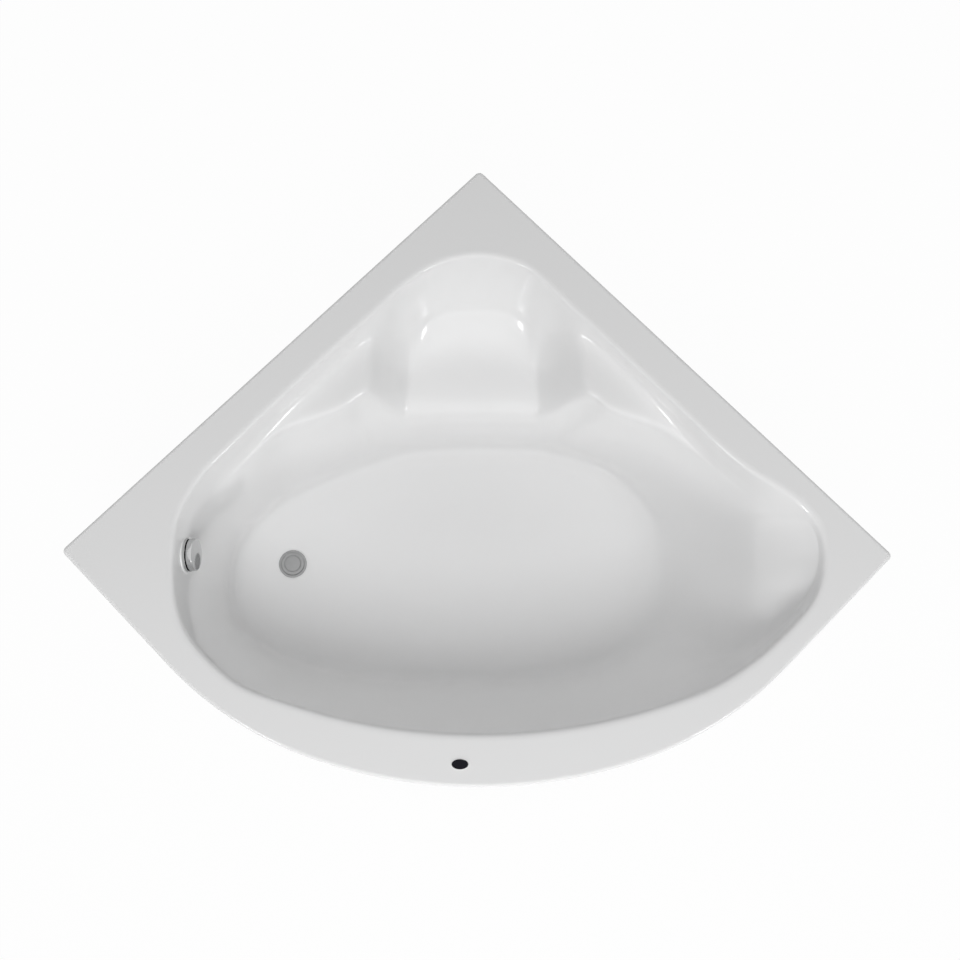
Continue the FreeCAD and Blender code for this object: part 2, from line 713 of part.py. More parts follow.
def cable_points():
    """Corners of the control cable: at the overflow body, below it, and at the drain body."""
    way, across = waste_way()
    frame = overflow_placement()
    top, down = wall_line()
    start = frame.multVec(Vec(size("cable_seat"), -size("cable_aside"), -size("cable_behind")))
    finish = lever_axle() - way * size("crank_gap")
    finish += across * (size("cup_radius") + size("cup_wall") + size("shaft_radius") / 2)
    finish.z += size("crank_length") * math.cos(lever_swing() / 2)
    corner = start + down * ((start.z - finish.z) / -down.z)
    return [start, corner, finish]


def rounded_path(points, bend):
    """A wire through points, its corners rounded to one bend radius."""
    edges = []
    last = points[0]
    for before, corner, after in zip(points, points[1:], points[2:]):
        back, ahead = (before - corner).normalize(), (after - corner).normalize()
        turn = math.pi - back.getAngle(ahead)
        reach = bend * math.tan(turn / 2)
        first, second = corner + back * reach, corner + ahead * reach
        middle = corner + (back + ahead).normalize() * (bend / math.cos(turn / 2) - bend)
        edges += [Part.LineSegment(last, first).toShape(), Part.Arc(first, middle, second).toShape()]
        last = second
    edges.append(Part.LineSegment(last, points[-1]).toShape())
    return Part.Wire(edges)


def swept(points, radius, bend):
    """A round rod along a path with rounded corners."""
    ring = Part.Wire(Part.makeCircle(radius, points[0], points[1] - points[0]))
    return rounded_path(points, bend).makePipeShell([ring], True, False)


def upright_box(origin, along, across, extent):
    """A box from a point: its length goes along, its width is centred across."""
    length, width, height = extent
    block = Part.makeBox(length, width, height, Vec(0, -width / 2, -height / 2))
    turn = App.Rotation(along, across, along.cross(across), "XYZ")
    block.Placement = App.Placement(origin, turn).multiply(block.Placement)
    return block


# ---------------------------------------------------------------- sub-assemblies

def make_shell():
    """The tub itself, with a moulded overflow boss and both waste holes."""
    frame = overflow_placement()
    depth = size("boss_proud") + size("shell_wall") + size("boss_back")
    boss = Part.makeCylinder(size("boss_radius"), depth, Vec(0, 0, -depth + size("boss_proud")))
    hole = Part.makeCylinder(size("overflow_bore"), 4 * depth, Vec(0, 0, -2 * depth))
    drain = Part.makeCylinder(size("drain_bore"), 4 * size("shell_wall"),
                              drain_at(size("floor_under") - size("shell_wall")))
    for shape in (boss, hole):
        shape.Placement = frame
    piece(solid("tub", shell_blank().fuse(boss).cut(hole).cut(drain)), "tub_shell")


def board_body(name, length, width, corner, top, left, front):
    """A board with rounded corners as a sketched pad, its upper face at a level."""
    body = doc.addObject("PartDesign::Body", name)
    sketch = body.newObject("Sketcher::SketchObject", name + "_sketch")
    plane = [item for item in body.Origin.OriginFeatures if item.Role == "XY_Plane"][0]
    sketch.AttachmentSupport = [(plane, "")]
    sketch.MapMode = "FlatFace"
    corners = [Vec(0, 0, 0), Vec(size(length), 0, 0), Vec(size(length), size(width), 0),
               Vec(0, size(width), 0)]
    for first, second in zip(corners, corners[1:] + corners[:1]):
        sketch.addGeometry(Part.LineSegment(first, second), False)
    for number in range(4):
        sketch.addConstraint(Sketcher.Constraint("Coincident", number, 2, (number + 1) % 4, 1))
    for number, kind in enumerate(("Horizontal", "Vertical", "Horizontal", "Vertical")):
        sketch.addConstraint(Sketcher.Constraint(kind, number))
    sketch.addConstraint(Sketcher.Constraint("Coincident", 0, 1, -1, 1))
    for axis, edge, alias in (("DistanceX", 0, length), ("DistanceY", 1, width)):
        row = sketch.addConstraint(Sketcher.Constraint(axis, edge, 1, edge, 2, size(alias)))
        sketch.setExpression("Constraints[%d]" % row, spell(alias))
    pad = body.newObject("PartDesign::Pad", name + "_pad")
    pad.Profile = sketch
    pad.setExpression("Length", spell("board_thickness"))
    doc.recompute()
    upright = ["Edge%d" % number for number, edge in enumerate(pad.Shape.Edges, start=1)
               if edge.BoundBox.XLength + edge.BoundBox.YLength < 1e-6]
    fillet = body.newObject("PartDesign::Fillet", name + "_fillet")
    fillet.Base = (pad, upright)
    fillet.setExpression("Radius", spell(corner))
    body.Tip = fillet
    doc.recompute()
    return put(body, (left, front, top + " - board_thickness"))


def make_boards():
    """Boards bonded under the basin floor and the seat."""
    floor = board_body("floor_plate", "board_length", "board_width", "board_corner", "floor_under",
                       "-board_left", "line_y - board_front")
    piece(floor, "floor_board")
    seat = board_body("seat_plate", "niche_board_length", "niche_board_width", "board_thickness",
                      "niche_under", "-niche_board_length / 2",
                      "line_y + niche_post - niche_board_width / 2")
    piece(seat, "seat_board")


def rail(label, length, at, lie, studs):
    """A square tube from the middle of one end, with holes for studs in its lower wall."""
    turn = {"x": App.Rotation(Vec(0, 1, 0), 90), "y": App.Rotation(Vec(1, 0, 0), -90),
            "z": App.Rotation()}[lie]
    half = "rail_size / 2"
    offset = {"x": ("0", "-" + half, half), "y": ("-" + half, "0", half),
              "z": ("-" + half, "-" + half, "0")}[lie]
    hollow = "rail_size / 2 - rail_wall"
    inner = {"x": ("-1", "-(%s)" % hollow, hollow), "y": ("-(%s)" % hollow, "-1", hollow),
             "z": ("-(%s)" % hollow, "-(%s)" % hollow, "-1")}[lie]

    def place(shift):
        return tuple("(%s) + (%s)" % pair for pair in zip(at, shift))

    tube = cut(label + "_tube", box(label + "_bar", ("rail_size", "rail_size", length),
                                    place(offset), turn),
               box(label + "_bore", ("rail_size - 2 * rail_wall", "rail_size - 2 * rail_wall",
                                     "(%s) + 2" % length), place(inner), turn))
    if studs:
        holes = [rod("%s_hole_%d" % (label, number), "stud_radius + loose", "3 * rail_wall",
                     (x, y, "rail_under - rail_wall")) for number, (x, y) in enumerate(studs)]
        tube = cut(label + "_drilled", tube, *holes)
    return piece(tube, label)


FEET = {
    "left": ("-left_post + foot_inset", "line_y - rail_line"),
    "right": ("right_post - foot_inset", "line_y - rail_line"),
    "back": ("0", "line_y + back_post - foot_inset"),
    "front": ("0", "line_y - front_post + foot_inset"),
    "middle": ("0", "line_y - rail_line"),
}
POSTS = {
    "left": ("-left_post", "line_y - rail_line"),
    "right": ("right_post", "line_y - rail_line"),
    "back": ("0", "line_y + back_post"),
    "front": ("0", "line_y - front_post"),
}


def make_frame():
    """Welded rails under the floor board, and posts up to the deck and the seat board."""
    middle = "rail_under + rail_size / 2"
    rail("long_rail", "left_post + right_post + rail_size",
         ("-left_post - rail_size / 2", "line_y - rail_line", middle), "x",
         [FEET["left"], FEET["middle"], FEET["right"]])
    rail("back_rail", "back_post + rail_line",
         ("0", "line_y - rail_line + rail_size / 2", middle), "y", [FEET["back"]])
    rail("front_rail", "front_post - rail_line",
         ("0", "line_y - front_post - rail_size / 2", middle), "y", [FEET["front"]])
    for name, (x, y) in POSTS.items():
        rail(name + "_post", "deck_under - rail_top - cap_height", (x, y, "rail_top"), "z", [])
    rail("seat_post", "niche_under - board_thickness - rail_top",
         ("0", "line_y + niche_post", "rail_top"), "z", [])
    caps = [box(name + "_cap", ("rail_size", "rail_size", "cap_height"),
                ("(%s) - rail_size / 2" % x, "(%s) - rail_size / 2" % y, "deck_under - cap_height"))
            for name, (x, y) in POSTS.items()]
    piece(together("caps", *caps), "post_caps")


def make_feet():
    """Levelling studs with pads, and the lock nuts under the rails."""
    nuts = []
    for name, (x, y) in FEET.items():
        sole = rod(name + "_sole", "pad_radius", "pad_height", (x, y, "0"))
        socket = rod(name + "_socket", "stud_radius + near", "pad_height", (x, y, "pad_sole"))
        piece(cut(name + "_pad_body", sole, socket), name + "_foot_pad")
        piece(rod(name + "_stud", "stud_radius", "stud_top - pad_sole", (x, y, "pad_sole")),
              name + "_foot_stud")
        at = (x, y, "rail_under - nut_height")
        nuts.append(cut(name + "_nut", hexagon(name + "_hex", "nut_radius", "nut_height", at),
                        rod(name + "_nut_bore", "stud_radius + running", "nut_height", at)))
    piece(together("nuts", *nuts), "lock_nuts")


def side_turn(side):
    """Rotation that lays X along a wall away from the room's corner, and Y towards the basin."""
    return App.Rotation(Vec(0, 0, 1), -135 if side < 0 else -45)


def beside_wall(side, along, inset, height):
    """Expressions for a point beside a wall."""
    x = "%d * ((%s) - (%s)) / sqrt(2)" % (side, along, inset)
    y = "line_y + reach - ((%s) + (%s)) / sqrt(2)" % (along, inset)
    return (x, y, height)


def wall_box(name, side, along, inset, height, extent):
    """A box that lies along a wall, from its end nearest the room's corner."""
    length, width, tall = extent
    start = inset if side < 0 else "(%s) + (%s)" % (inset, width)
    return box(name, extent, beside_wall(side, along, start, height), side_turn(side))


def wall_rod(name, side, along, inset, height, radius, length):
    """A rod that points from a wall towards the basin."""
    turn = side_turn(side).multiply(App.Rotation(Vec(1, 0, 0), -90 if side < 0 else 90))
    return rod(name, radius, length, beside_wall(side, along, inset, height), turn)


def make_wall_fixings():
    """Battens under the deck, and steel brackets that hang the rim on the walls."""
    for side, name in ((-1, "left"), (1, "right")):
        level = "deck_under - batten_height"
        batten = wall_box(name + "_batten_bar", side, "batten_start", "batten_gap", level,
                          ("batten_length", "batten_width", "batten_height"))
        brackets, screws, pilots = [], [], []
        for number, along in enumerate(("bracket_first", "bracket_second"), start=1):
            tag = "%s_%d" % (name, number)
            start = "%s - bracket_width / 2" % along
            shelf = wall_box("shelf_" + tag, side, start, "0", level + " - bracket_steel",
                             ("bracket_width", "batten_gap + batten_width", "bracket_steel"))
            leg = wall_box("leg_" + tag, side, start, "0", level + " - bracket_drop",
                           ("bracket_width", "bracket_steel", "bracket_drop"))
            hole = wall_rod("hole_" + tag, side, along, "-bracket_steel",
                            level + " - 2 * bracket_drop / 3", "bracket_hole", "3 * bracket_steel")
            middle = beside_wall(side, along, "batten_gap + batten_width / 2",
                                 level + " - bracket_steel")
            pass_hole = rod("pass_" + tag, "screw_radius + loose", "bracket_steel", middle)
            brackets.append(cut("bracket_" + tag, joined("angle_" + tag, shelf, leg), hole, pass_hole))
            top = level + " - bracket_steel - head_height"
            screws.append(joined("screw_" + tag,
                                 rod("head_" + tag, "head_radius", "head_height",
                                     middle[:2] + (top,)),
                                 rod("shank_" + tag, "screw_radius", "screw_length",
                                     middle[:2] + (top,))))
            pilots.append(rod("pilot_" + tag, "screw_radius + running", "screw_length",
                              middle[:2] + (top,)))
        piece(cut(name + "_batten_drilled", batten, *pilots), name + "_rim_batten")
        piece(together(name + "_brackets", *brackets), name + "_wall_brackets")
        piece(together(name + "_screws", *screws), name + "_bracket_screws")


def strip_face(first, second, gap, height):
    """The level strip between two insets round the front."""
    near, far = front_edges(first, gap), front_edges(second, gap)
    ends = [Part.LineSegment(near[i].Vertexes[i].Point, far[i].Vertexes[i].Point).toShape()
            for i in (0, -1)]
    face = Part.Face(Part.Wire(Part.__sortEdges__(near + far + ends)))
    face.translate(plan(0, 0, height))
    return face


def cheek_point(side, along, inset, height):
    """A point beside the straight cheek, from the side corner along it."""
    x = side * (size("reach") - (along + inset) / ROOT2)
    return plan(x, (inset - along) / ROOT2, height)


def cheek_rod(side, along, inset, height, radius, length):
    """A cylinder through the cheek, pointing inward."""
    way = Vec(-side, 1, 0)
    return Part.makeCylinder(radius, length, cheek_point(side, along, inset, height), way)


def panel_screw_places():
    """Side and height of each screw that holds the panel's ends."""
    low = size("panel_foot") + 2 * size("corner_batten")
    high = size("deck_under") - size("panel_head") - 2 * size("corner_batten")
    return [(side, height) for side in (-1, 1) for height in (low, high)]


def make_panel():
    """Front panel, the battens behind its ends, its clip on the front post, and its screws."""
    low, high = size("panel_foot"), size("deck_under") - size("panel_head")
    outer, inner = size("panel_inset"), size("panel_inset") + size("panel_wall")
    panel = strip_face(outer, inner, size("panel_end"), low).extrude(Vec(0, 0, high - low))
    shank, along = size("screw_radius"), size("panel_end") + size("corner_batten") / 2
    screws, holes = [], []
    for side, height in panel_screw_places():
        head = cheek_rod(side, along, outer - size("head_height"), height, size("head_radius"),
                         size("head_height"))
        screws.append(head.fuse(cheek_rod(side, along, outer, height, shank, size("screw_length"))))
        holes.append(cheek_rod(side, along, outer - 1, height, shank + size("running"),
                               size("screw_length") + 1))
    piece(solid("panel_sheet", panel.cut(holes)), "front_panel")
    piece(solid("panel_fasteners", Part.Compound(screws)), "panel_screws")
    for side, name in ((-1, "left"), (1, "right")):
        stick = size("corner_batten")
        corner = [cheek_point(side, size("panel_end") + a, inner + b, low)
                  for a, b in ((0, 0), (stick, 0), (stick, stick), (0, stick))]
        square = Part.Face(Part.makePolygon(corner + corner[:1]))
        batten = square.extrude(Vec(0, 0, size("deck_under") - low)).cut(holes)
        piece(solid(name + "_stick", batten), name + "_corner_batten")
    face = "line_y - front_reach + panel_inset + panel_wall + near"
    post = "line_y - front_post - rail_size / 2"
    deep = "(%s) - (%s)" % (post, face)
    top = "deck_under - panel_head - 2 * clip_height"
    left = "-clip_width / 2"
    shelf = box("clip_shelf", ("clip_width", deep, "clip_steel"), (left, face, top))
    fronts = [box("clip_flange_%d" % n, ("clip_width", "clip_steel", "clip_height"), (left, y, top))
              for n, y in enumerate((face, "(%s) - clip_steel" % post))]
    piece(joined("clip", shelf, *fronts), "panel_clip")


def make_badge():
    """A plain oval badge on the front deck."""
    oval = doc.addObject("Part::Ellipse", "badge_oval")
    oval.setExpression("MajorRadius", spell("badge_length / 2"))
    oval.setExpression("MinorRadius", spell("badge_width / 2"))
    put(oval, ("-badge_left", "line_y - front_reach + badge_inset", "deck_height"))
    plate = bound("Part::Extrusion", "badge_plate", LengthFwd="badge_height")
    plate.Base = oval
    plate.Dir = Vec(0, 0, 1)
    plate.DirMode = "Custom"
    plate.Solid = True
    piece(plate, "badge")


def make_drain():
    """Drain flange with its stem guide, seal, body with two ports, plug and lift lever."""
    way, across = waste_way()
    x, y = "-drain_left", "line_y + drain_back"
    skirt = rod("skirt", "skirt_radius", "skirt_depth + flange_height", (x, y, "floor_top - skirt_depth"))
    rim = rod("flange_rim", "flange_radius", "flange_height", (x, y, "floor_top"))
    bore = rod("flange_bore", "skirt_radius - skirt_wall", "skirt_depth + 2 * flange_height",
               (x, y, "floor_top - skirt_depth"))
    guide = rod("stem_guide", "guide_radius", "guide_height", (x, y, "floor_top - skirt_depth"))
    ribs = []
    for number in range(3):
        turn = App.Rotation(Vec(0, 0, 1), 120 * number + 30)
        half = turn.multVec(Vec(0, -size("skirt_wall") / 2, 0))
        ribs.append(box("guide_rib_%d" % number,
                        ("skirt_radius - skirt_wall / 2", "skirt_wall", "guide_height"),
                        ("%s + (%s) * skirt_wall" % (x, half.x / size("skirt_wall")),
                         "%s + (%s) * skirt_wall" % (y, half.y / size("skirt_wall")),
                         "floor_top - skirt_depth"), turn))
    ring = cut("flange_ring", joined("flange_blank", skirt, rim), bore)
    stem_bore = rod("stem_bore", "stem_radius + running", "2 * guide_height",
                    (x, y, "floor_top - skirt_depth - guide_height / 2"))
    flange = cut("flange_body", joined("flange_whole", ring, guide, *ribs), stem_bore)
    piece(flange, "drain_flange")

    seal_at = (x, y, "floor_under - seal_height")
    piece(cut("seal_ring", rod("seal_disc", "collar_radius", "seal_height", seal_at),
              rod("seal_bore", "skirt_radius + near", "seal_height", seal_at)), "drain_seal")

    collar_top = size("floor_under") - size("seal_height")
    bottom = collar_top - size("cup_depth")
    cup_r, wall = size("cup_radius"), size("cup_wall")
    outer = Part.makeCylinder(size("collar_radius"), size("collar_height"),
                              drain_at(collar_top - size("collar_height")))
    outer = outer.fuse(Part.makeCylinder(cup_r, size("cup_depth"), drain_at(bottom)))
    outer = outer.fuse(Part.makeCylinder(size("spigot_radius"), size("spigot_length") + wall,
                                         drain_at(bottom - size("spigot_length"))))
    inlet = drain_at(size("inlet_level"))
    port_out = cup_r + size("inlet_length")
    outer = outer.fuse(Part.makeCylinder(size("overflow_pipe") + size("overflow_wall") + size("pipe_wall"),
                                         port_out, inlet, -way))
    axle = lever_axle()
    outer = outer.fuse(Part.makeCylinder(size("gland_radius"), cup_r + wall, axle, across))
    _, corner, finish = cable_points()
    aim = (finish - corner).normalize()
    lug = 2 * size("cable_radius")
    spoke = Vec(finish.x - inlet.x, finish.y - inlet.y, 0)
    root = Vec(inlet.x, inlet.y, finish.z)
    aside = Vec(0, 0, 1).cross(spoke).normalize()
    outer = outer.fuse(upright_box(root, spoke / spoke.Length, aside, (spoke.Length, lug, lug)))
    outer = outer.fuse(Part.makeCylinder(lug, 2 * lug, finish - aim * 1.6 * lug, aim))
    neck = Part.makeCylinder(size("skirt_radius") + size("running"), size("skirt_depth"),
                             drain_at(size("floor_top") - size("skirt_depth")))
    hollow = Part.makeCylinder(cup_r - wall, size("cup_depth") - wall - size("skirt_depth")
                               + size("shell_wall") + size("seal_height"), drain_at(bottom + wall))
    out_bore = Part.makeCylinder(size("spigot_radius") - size("pipe_wall"),
                                 size("spigot_length") + 3 * wall,
                                 drain_at(bottom - size("spigot_length")))
    in_bore = Part.makeCylinder(size("overflow_pipe") - size("overflow_wall"), port_out, inlet, -way)
    socket = Part.makeCylinder(size("overflow_pipe") + size("running"), port_out - cup_r - wall,
                               inlet - way * (cup_r + wall), -way)
    shaft_bore = Part.makeCylinder(size("shaft_radius") + size("running"), 2 * cup_r, axle, across)
    sheath = Part.makeCylinder(size("cable_radius") + size("running"), 4 * lug, finish - aim * 4 * lug, aim)
    wire = Part.makeCylinder(size("cable_radius") / 2, 2 * lug, finish - aim * lug, aim)
    body = outer.cut([neck, hollow, out_bore, in_bore, socket, shaft_bore, sheath, wire])
    piece(solid("waste_body", body), "drain_body")


def make_plug():
    """Plug cap with its stem and rubber, and the rocker that lifts it."""
    way, across = waste_way()
    axle = lever_axle()
    x, y = "-drain_left", "line_y + drain_back"
    low = "floor_top + flange_height + plug_gap"
    top = size("floor_top") + size("flange_height") + size("plug_gap") + size("plug_height")
    cap = rounded("cap_domed", rod("cap_disc", "plug_radius", "plug_height", (x, y, low)),
                  "plug_round", lambda edge: abs(edge.BoundBox.ZMin - top) < 1e-6)
    piece(cap, "plug_cap")
    foot = ("floor_under - seal_height - cup_depth + cup_wall + 2 * lever_tip + plug_lift / 2"
            " + lever_gap")
    piece(rod("stem", "stem_radius", "%s - (%s)" % (low, foot), (x, y, foot)), "plug_stem")
    under = low + " - seal_height"
    piece(cut("plug_ring", rod("plug_rubber", "skirt_radius - skirt_wall - near", "seal_height",
                               (x, y, under)),
              rod("plug_rubber_bore", "stem_radius", "seal_height", (x, y, under))), "plug_seal")

    tip_r, shaft = size("lever_tip"), size("shaft_radius")
    outside = size("cup_radius") + size("cup_wall") + size("near")
    lowered = App.Rotation(across, -math.degrees(lever_swing() / 2))
    arm_way, crank_way = lowered.multVec(way), lowered.multVec(Vec(0, 0, 1))
    rocker = Part.makeCylinder(shaft, outside + shaft + size("shaft_over") + tip_r,
                               axle - across * tip_r, across)
    rocker = rocker.fuse(upright_box(axle, arm_way, across,
                                     (size("lever_arm"), 2 * tip_r, size("arm_height"))))
    tip = axle + arm_way * size("lever_arm") - across * tip_r
    rocker = rocker.fuse(Part.makeCylinder(tip_r, 2 * tip_r, tip, across))
    crank = upright_box(axle + across * (outside + shaft / 2), crank_way, across,
                        (size("crank_length"), shaft, 2 * shaft))
    piece(solid("lift_rocker", rocker.fuse(crank)), "lift_lever")


def make_trap():
    """Union nut, trap bend with its clean-out, and the pipe to the wall."""
    bottom = size("floor_under") - size("seal_height") - size("cup_depth")
    end = bottom - size("spigot_length")
    outer, wall = size("spigot_radius"), size("pipe_wall")
    low, rise = size("trap_bottom"), size("outlet_level")
    back = Vec(0, 2 * size("trap_radius"), 0)
    points = [drain_at(end), drain_at(low), drain_at(low) + back, drain_at(rise) + back,
              drain_at(rise) + back + Vec(size("drain_left") - size("trap_end"), 0, 0)]
    arc = size("trap_radius") - size("running")
    bend, hollow = swept(points, outer, arc), swept(points, outer - wall, arc)
    clean = drain_at(low) + back / 2
    stub = Part.makeCylinder(outer * 0.6, outer * 1.4, clean, Vec(1, 0, 0))
    clean_bore = Part.makeCylinder(outer * 0.6 - wall, outer * 1.4, clean, Vec(1, 0, 0))
    piece(solid("trap_tube", bend.fuse(stub).cut([hollow, clean_bore])), "trap_bend")
    cap = Part.makeCylinder(outer * 0.6 + wall, outer * 0.5, clean + Vec(outer * 1.1, 0, 0), Vec(1, 0, 0))
    cap = cap.cut(Part.makeCylinder(outer * 0.6 + size("running"), outer * 0.3,
                                    clean + Vec(outer * 1.1, 0, 0), Vec(1, 0, 0)))
    piece(solid("clean_out", cap), "cleanout_cap")

    nut_r, nut_h = size("trap_nut_radius"), size("trap_nut_height")
    nut = Part.makeCylinder(nut_r, nut_h, drain_at(end - nut_h / 2))
    nut = nut.cut(Part.makeCylinder(outer + size("running"), nut_h, drain_at(end - nut_h / 2)))
    piece(solid("union_nut", nut), "trap_nut")
    mouth = points[-1]
    side = Vec(-1, 0, 0)
    nut = Part.makeCylinder(nut_r, nut_h, mouth - side * nut_h / 2, side)
    nut = nut.cut(Part.makeCylinder(outer + size("running"), nut_h, mouth - side * nut_h / 2, side))
    piece(solid("outlet_union", nut), "outlet_nut")
    run, socket = size("outlet_end") - size("trap_end"), size("socket_depth")
    bell, snug = mouth + side * (run - socket), outer + size("socket_gap")
    pipe = Part.makeCylinder(outer, run, mouth, side)
    pipe = pipe.fuse(Part.makeCylinder(snug + wall, socket + wall, bell - side * wall, side))
    pipe = pipe.cut([Part.makeCylinder(outer - wall, run, mouth, side),
                     Part.makeCylinder(snug, socket, bell, side)])
    piece(solid("waste_pipe", pipe), "outlet_pipe")


def make_overflow():
    """Rosette, knob and spindle in the basin; seal, body and pipe behind its wall."""
    frame = overflow_placement()
    back = "shell_wall + boss_back"
    heart = ("0", "0")

    def placed(thing, label):
        thing.Placement = frame
        return piece(thing, label)

    rose = rod("rose_disc", "rosette_radius", "rosette_height", heart + ("boss_proud",))
    neck_low = heart + ("boss_proud - neck_depth",)
    neck = rod("rose_neck", "neck_radius", "neck_depth", neck_low)
    neck_bore = rod("rose_neck_bore", "neck_radius - neck_wall", "neck_depth", neck_low)
    hub = rod("rose_hub", "hub_radius", "rosette_height + neck_wall", heart + ("boss_proud - neck_wall",))
    ring = size("hub_radius") + size("spindle_radius") + size("near")
    ports = []
    for number in range(8):
        turn = math.radians(45 * number)
        ports.append(rod("rose_port_%d" % number, "spindle_radius - near", "3 * rosette_height",
                         ("%.4f" % (ring * math.cos(turn)), "%.4f" % (ring * math.sin(turn)),
                          "boss_proud - rosette_height")))
    shaft_bore = rod("rose_bore", "spindle_radius + running", "4 * rosette_height",
                     heart + ("boss_proud - 2 * rosette_height",))
    blank = joined("rose_blank", rose, cut("rose_tube", neck, neck_bore), hub)
    placed(cut("rose", blank, shaft_bore, *ports), "overflow_rosette")

    base = "boss_proud + rosette_height + knob_gap"
    top = size("boss_proud") + size("rosette_height") + size("knob_gap") + size("knob_height")
    cap = rounded("knob_cap", rod("knob_disc", "knob_radius", "knob_height", heart + (base,)),
                  "knob_round", lambda edge: abs(edge.BoundBox.ZMin - top) < 1e-6)
    hollow = rod("knob_hollow", "knob_radius - knob_wall", "knob_height - knob_wall", heart + (base,))
    hub = rod("knob_hub", "hub_radius", "knob_height - knob_wall", heart + (base,))
    bore = rod("knob_bore", "spindle_radius", "knob_height - knob_wall", heart + (base,))
    blank = joined("knob_blank", cut("knob_shell", cap, hollow), hub)
    placed(cut("knob_body", blank, bore), "overflow_knob")

    cam_low = "-cable_behind - cam_height / 2"
    shaft = rod("spindle_rod", "spindle_radius", "%s + knob_height - knob_wall - (%s)" % (base, cam_low),
                heart + (cam_low,))
    turn = App.Rotation(Vec(0, 0, 1), -60)
    corner = turn.multVec(Vec(0, -size("hub_radius") / 2, 0))
    cam = box("spindle_cam", ("cam_length", "hub_radius", "cam_height"),
              ("%.4f" % corner.x, "%.4f" % corner.y, cam_low), turn)
    placed(joined("spindle", shaft, cam), "overflow_spindle")

    seal_low = heart + ("-(%s) - seal_height" % back,)
    disc = rod("overflow_disc", "elbow_radius + elbow_wall", "seal_height", seal_low)
    hole = rod("overflow_ring_bore", "neck_radius + near", "seal_height", seal_low)
    placed(cut("overflow_ring", disc, hole), "overflow_seal")

    cup_r, wall = size("elbow_radius"), size("elbow_wall")
    mouth = -size("shell_wall") - size("boss_back") - size("seal_height")
    depth, land = size("elbow_depth"), mouth + size("neck_depth") - size("boss_proud") + 0.5
    tail, thin, run = size("overflow_pipe"), size("overflow_wall"), size("running")
    spine, down = Vec(0, 0, -behind_wall()), Vec(1, 0, 0)
    seat = Vec(0, -size("cable_aside"), -size("cable_behind"))
    cup = Part.makeCylinder(cup_r, depth, Vec(0, 0, mouth - depth))
    cup = cup.fuse(Part.makeCylinder(cup_r + wall, wall, Vec(0, 0, mouth - wall)))
    cup = cup.fuse(Part.makeCylinder(tail + thin + run, cup_r + size("tail_length"), spine, down))
    cup = cup.fuse(Part.makeCylinder(2 * size("cable_radius"), size("cable_seat") + 2 * wall, seat, down))
    cup = cup.cut([Part.makeCylinder(cup_r - wall, depth - wall - land, Vec(0, 0, mouth - depth + wall)),
                   Part.makeCylinder(size("neck_radius") + run, depth / 2, Vec(0, 0, mouth - depth / 2)),
                   Part.makeCylinder(tail - thin, cup_r + size("tail_length"), spine, down),
                   Part.makeCylinder(tail + run, size("tail_length"), spine + down * (cup_r + wall), down),
                   Part.makeCylinder(size("cable_radius") + run, 4 * wall,
                                     seat + down * size("cable_seat"), down),
                   Part.makeCylinder(size("cable_radius") / 2, size("cable_seat") + wall, seat, down)])
    placed(solid("overflow_cup", cup), "overflow_body")

    way, _ = waste_way()
    start = frame.multVec(spine + down * (cup_r + wall))
    corner = overflow_line(size("deck_height") - size("inlet_level"))
    corner = plan(corner.x, corner.y, size("inlet_level"))
    finish = drain_at(size("inlet_level")) - way * (size("cup_radius") + size("cup_wall"))
    line = [start, corner, finish]
    pipe = swept(line, tail, size("pipe_bend")).cut(swept(line, tail - thin, size("pipe_bend")))
    piece(solid("overflow_tube", pipe), "overflow_pipe")


def make_cable():
    """Sheathed control cable from the overflow to the lift lever, and its clips on the pipe."""
    frame = overflow_placement()
    piece(solid("cable_sheath", swept(cable_points(), size("cable_radius"), size("cable_bend"))),
          "control_cable")
    tube, cord, run = size("overflow_pipe"), size("cable_radius"), size("running")
    spine = Vec(0, 0, -behind_wall())
    cable = Vec(0, -size("cable_aside"), -size("cable_behind"))
    wide, thick, down = size("clip_band"), size("overflow_wall"), Vec(1, 0, 0)
    clips = []
    for drop in (size("clip_first"), size("clip_second")):
        here = down * drop
        span = cable - spine
        band = Part.makeCylinder(tube + run + thick, wide, spine + here, down)
        band = band.fuse(Part.makeCylinder(cord + run + thick, wide, cable + here, down))
        web = upright_box(spine + here + down * wide / 2, span / span.Length, down,
                          (span.Length, wide, thick))
        clip = band.fuse(web).cut([Part.makeCylinder(tube + run, wide, spine + here, down),
                                   Part.makeCylinder(cord + run, wide, cable + here, down)])
        clip.Placement = frame
        clips.append(clip)
    piece(solid("clips", Part.Compound(clips)), "cable_clips")


# ---------------------------------------------------------------- build, check and write

def build():
    """Make every sub-part."""
    make_shell()
    make_boards()
    make_frame()
    make_feet()
    make_wall_fixings()
    make_panel()
    make_badge()
    make_drain()
    make_plug()
    make_trap()
    make_overflow()
    make_cable()
    doc.recompute()


def check():
    """Stop if any object failed or any sub-part has no valid shape."""
    for thing in doc.Objects:
        if {"Invalid", "Error"} & set(thing.State):
            raise RuntimeError("%s is in state %s" % (thing.Label, thing.State))
    for thing in pieces:
        if thing.Shape.isNull() or not thing.Shape.isValid():
            raise RuntimeError("%s has no valid shape" % thing.Label)


def write():
    """Write each sub-part to its own file."""
    os.makedirs("parts", exist_ok=True)
    for thing in pieces:
        thing.Shape.exportStep(os.path.join("parts", thing.Label + ".step"))


build()
check()
write()
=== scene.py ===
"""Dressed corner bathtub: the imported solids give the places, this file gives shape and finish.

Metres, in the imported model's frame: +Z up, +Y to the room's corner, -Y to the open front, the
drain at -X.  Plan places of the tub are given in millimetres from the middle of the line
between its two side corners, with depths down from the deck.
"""

from __future__ import annotations

import sys

import json
import logging
import math
from dataclasses import dataclass, field
from enum import Enum
from typing import Iterable, Sequence

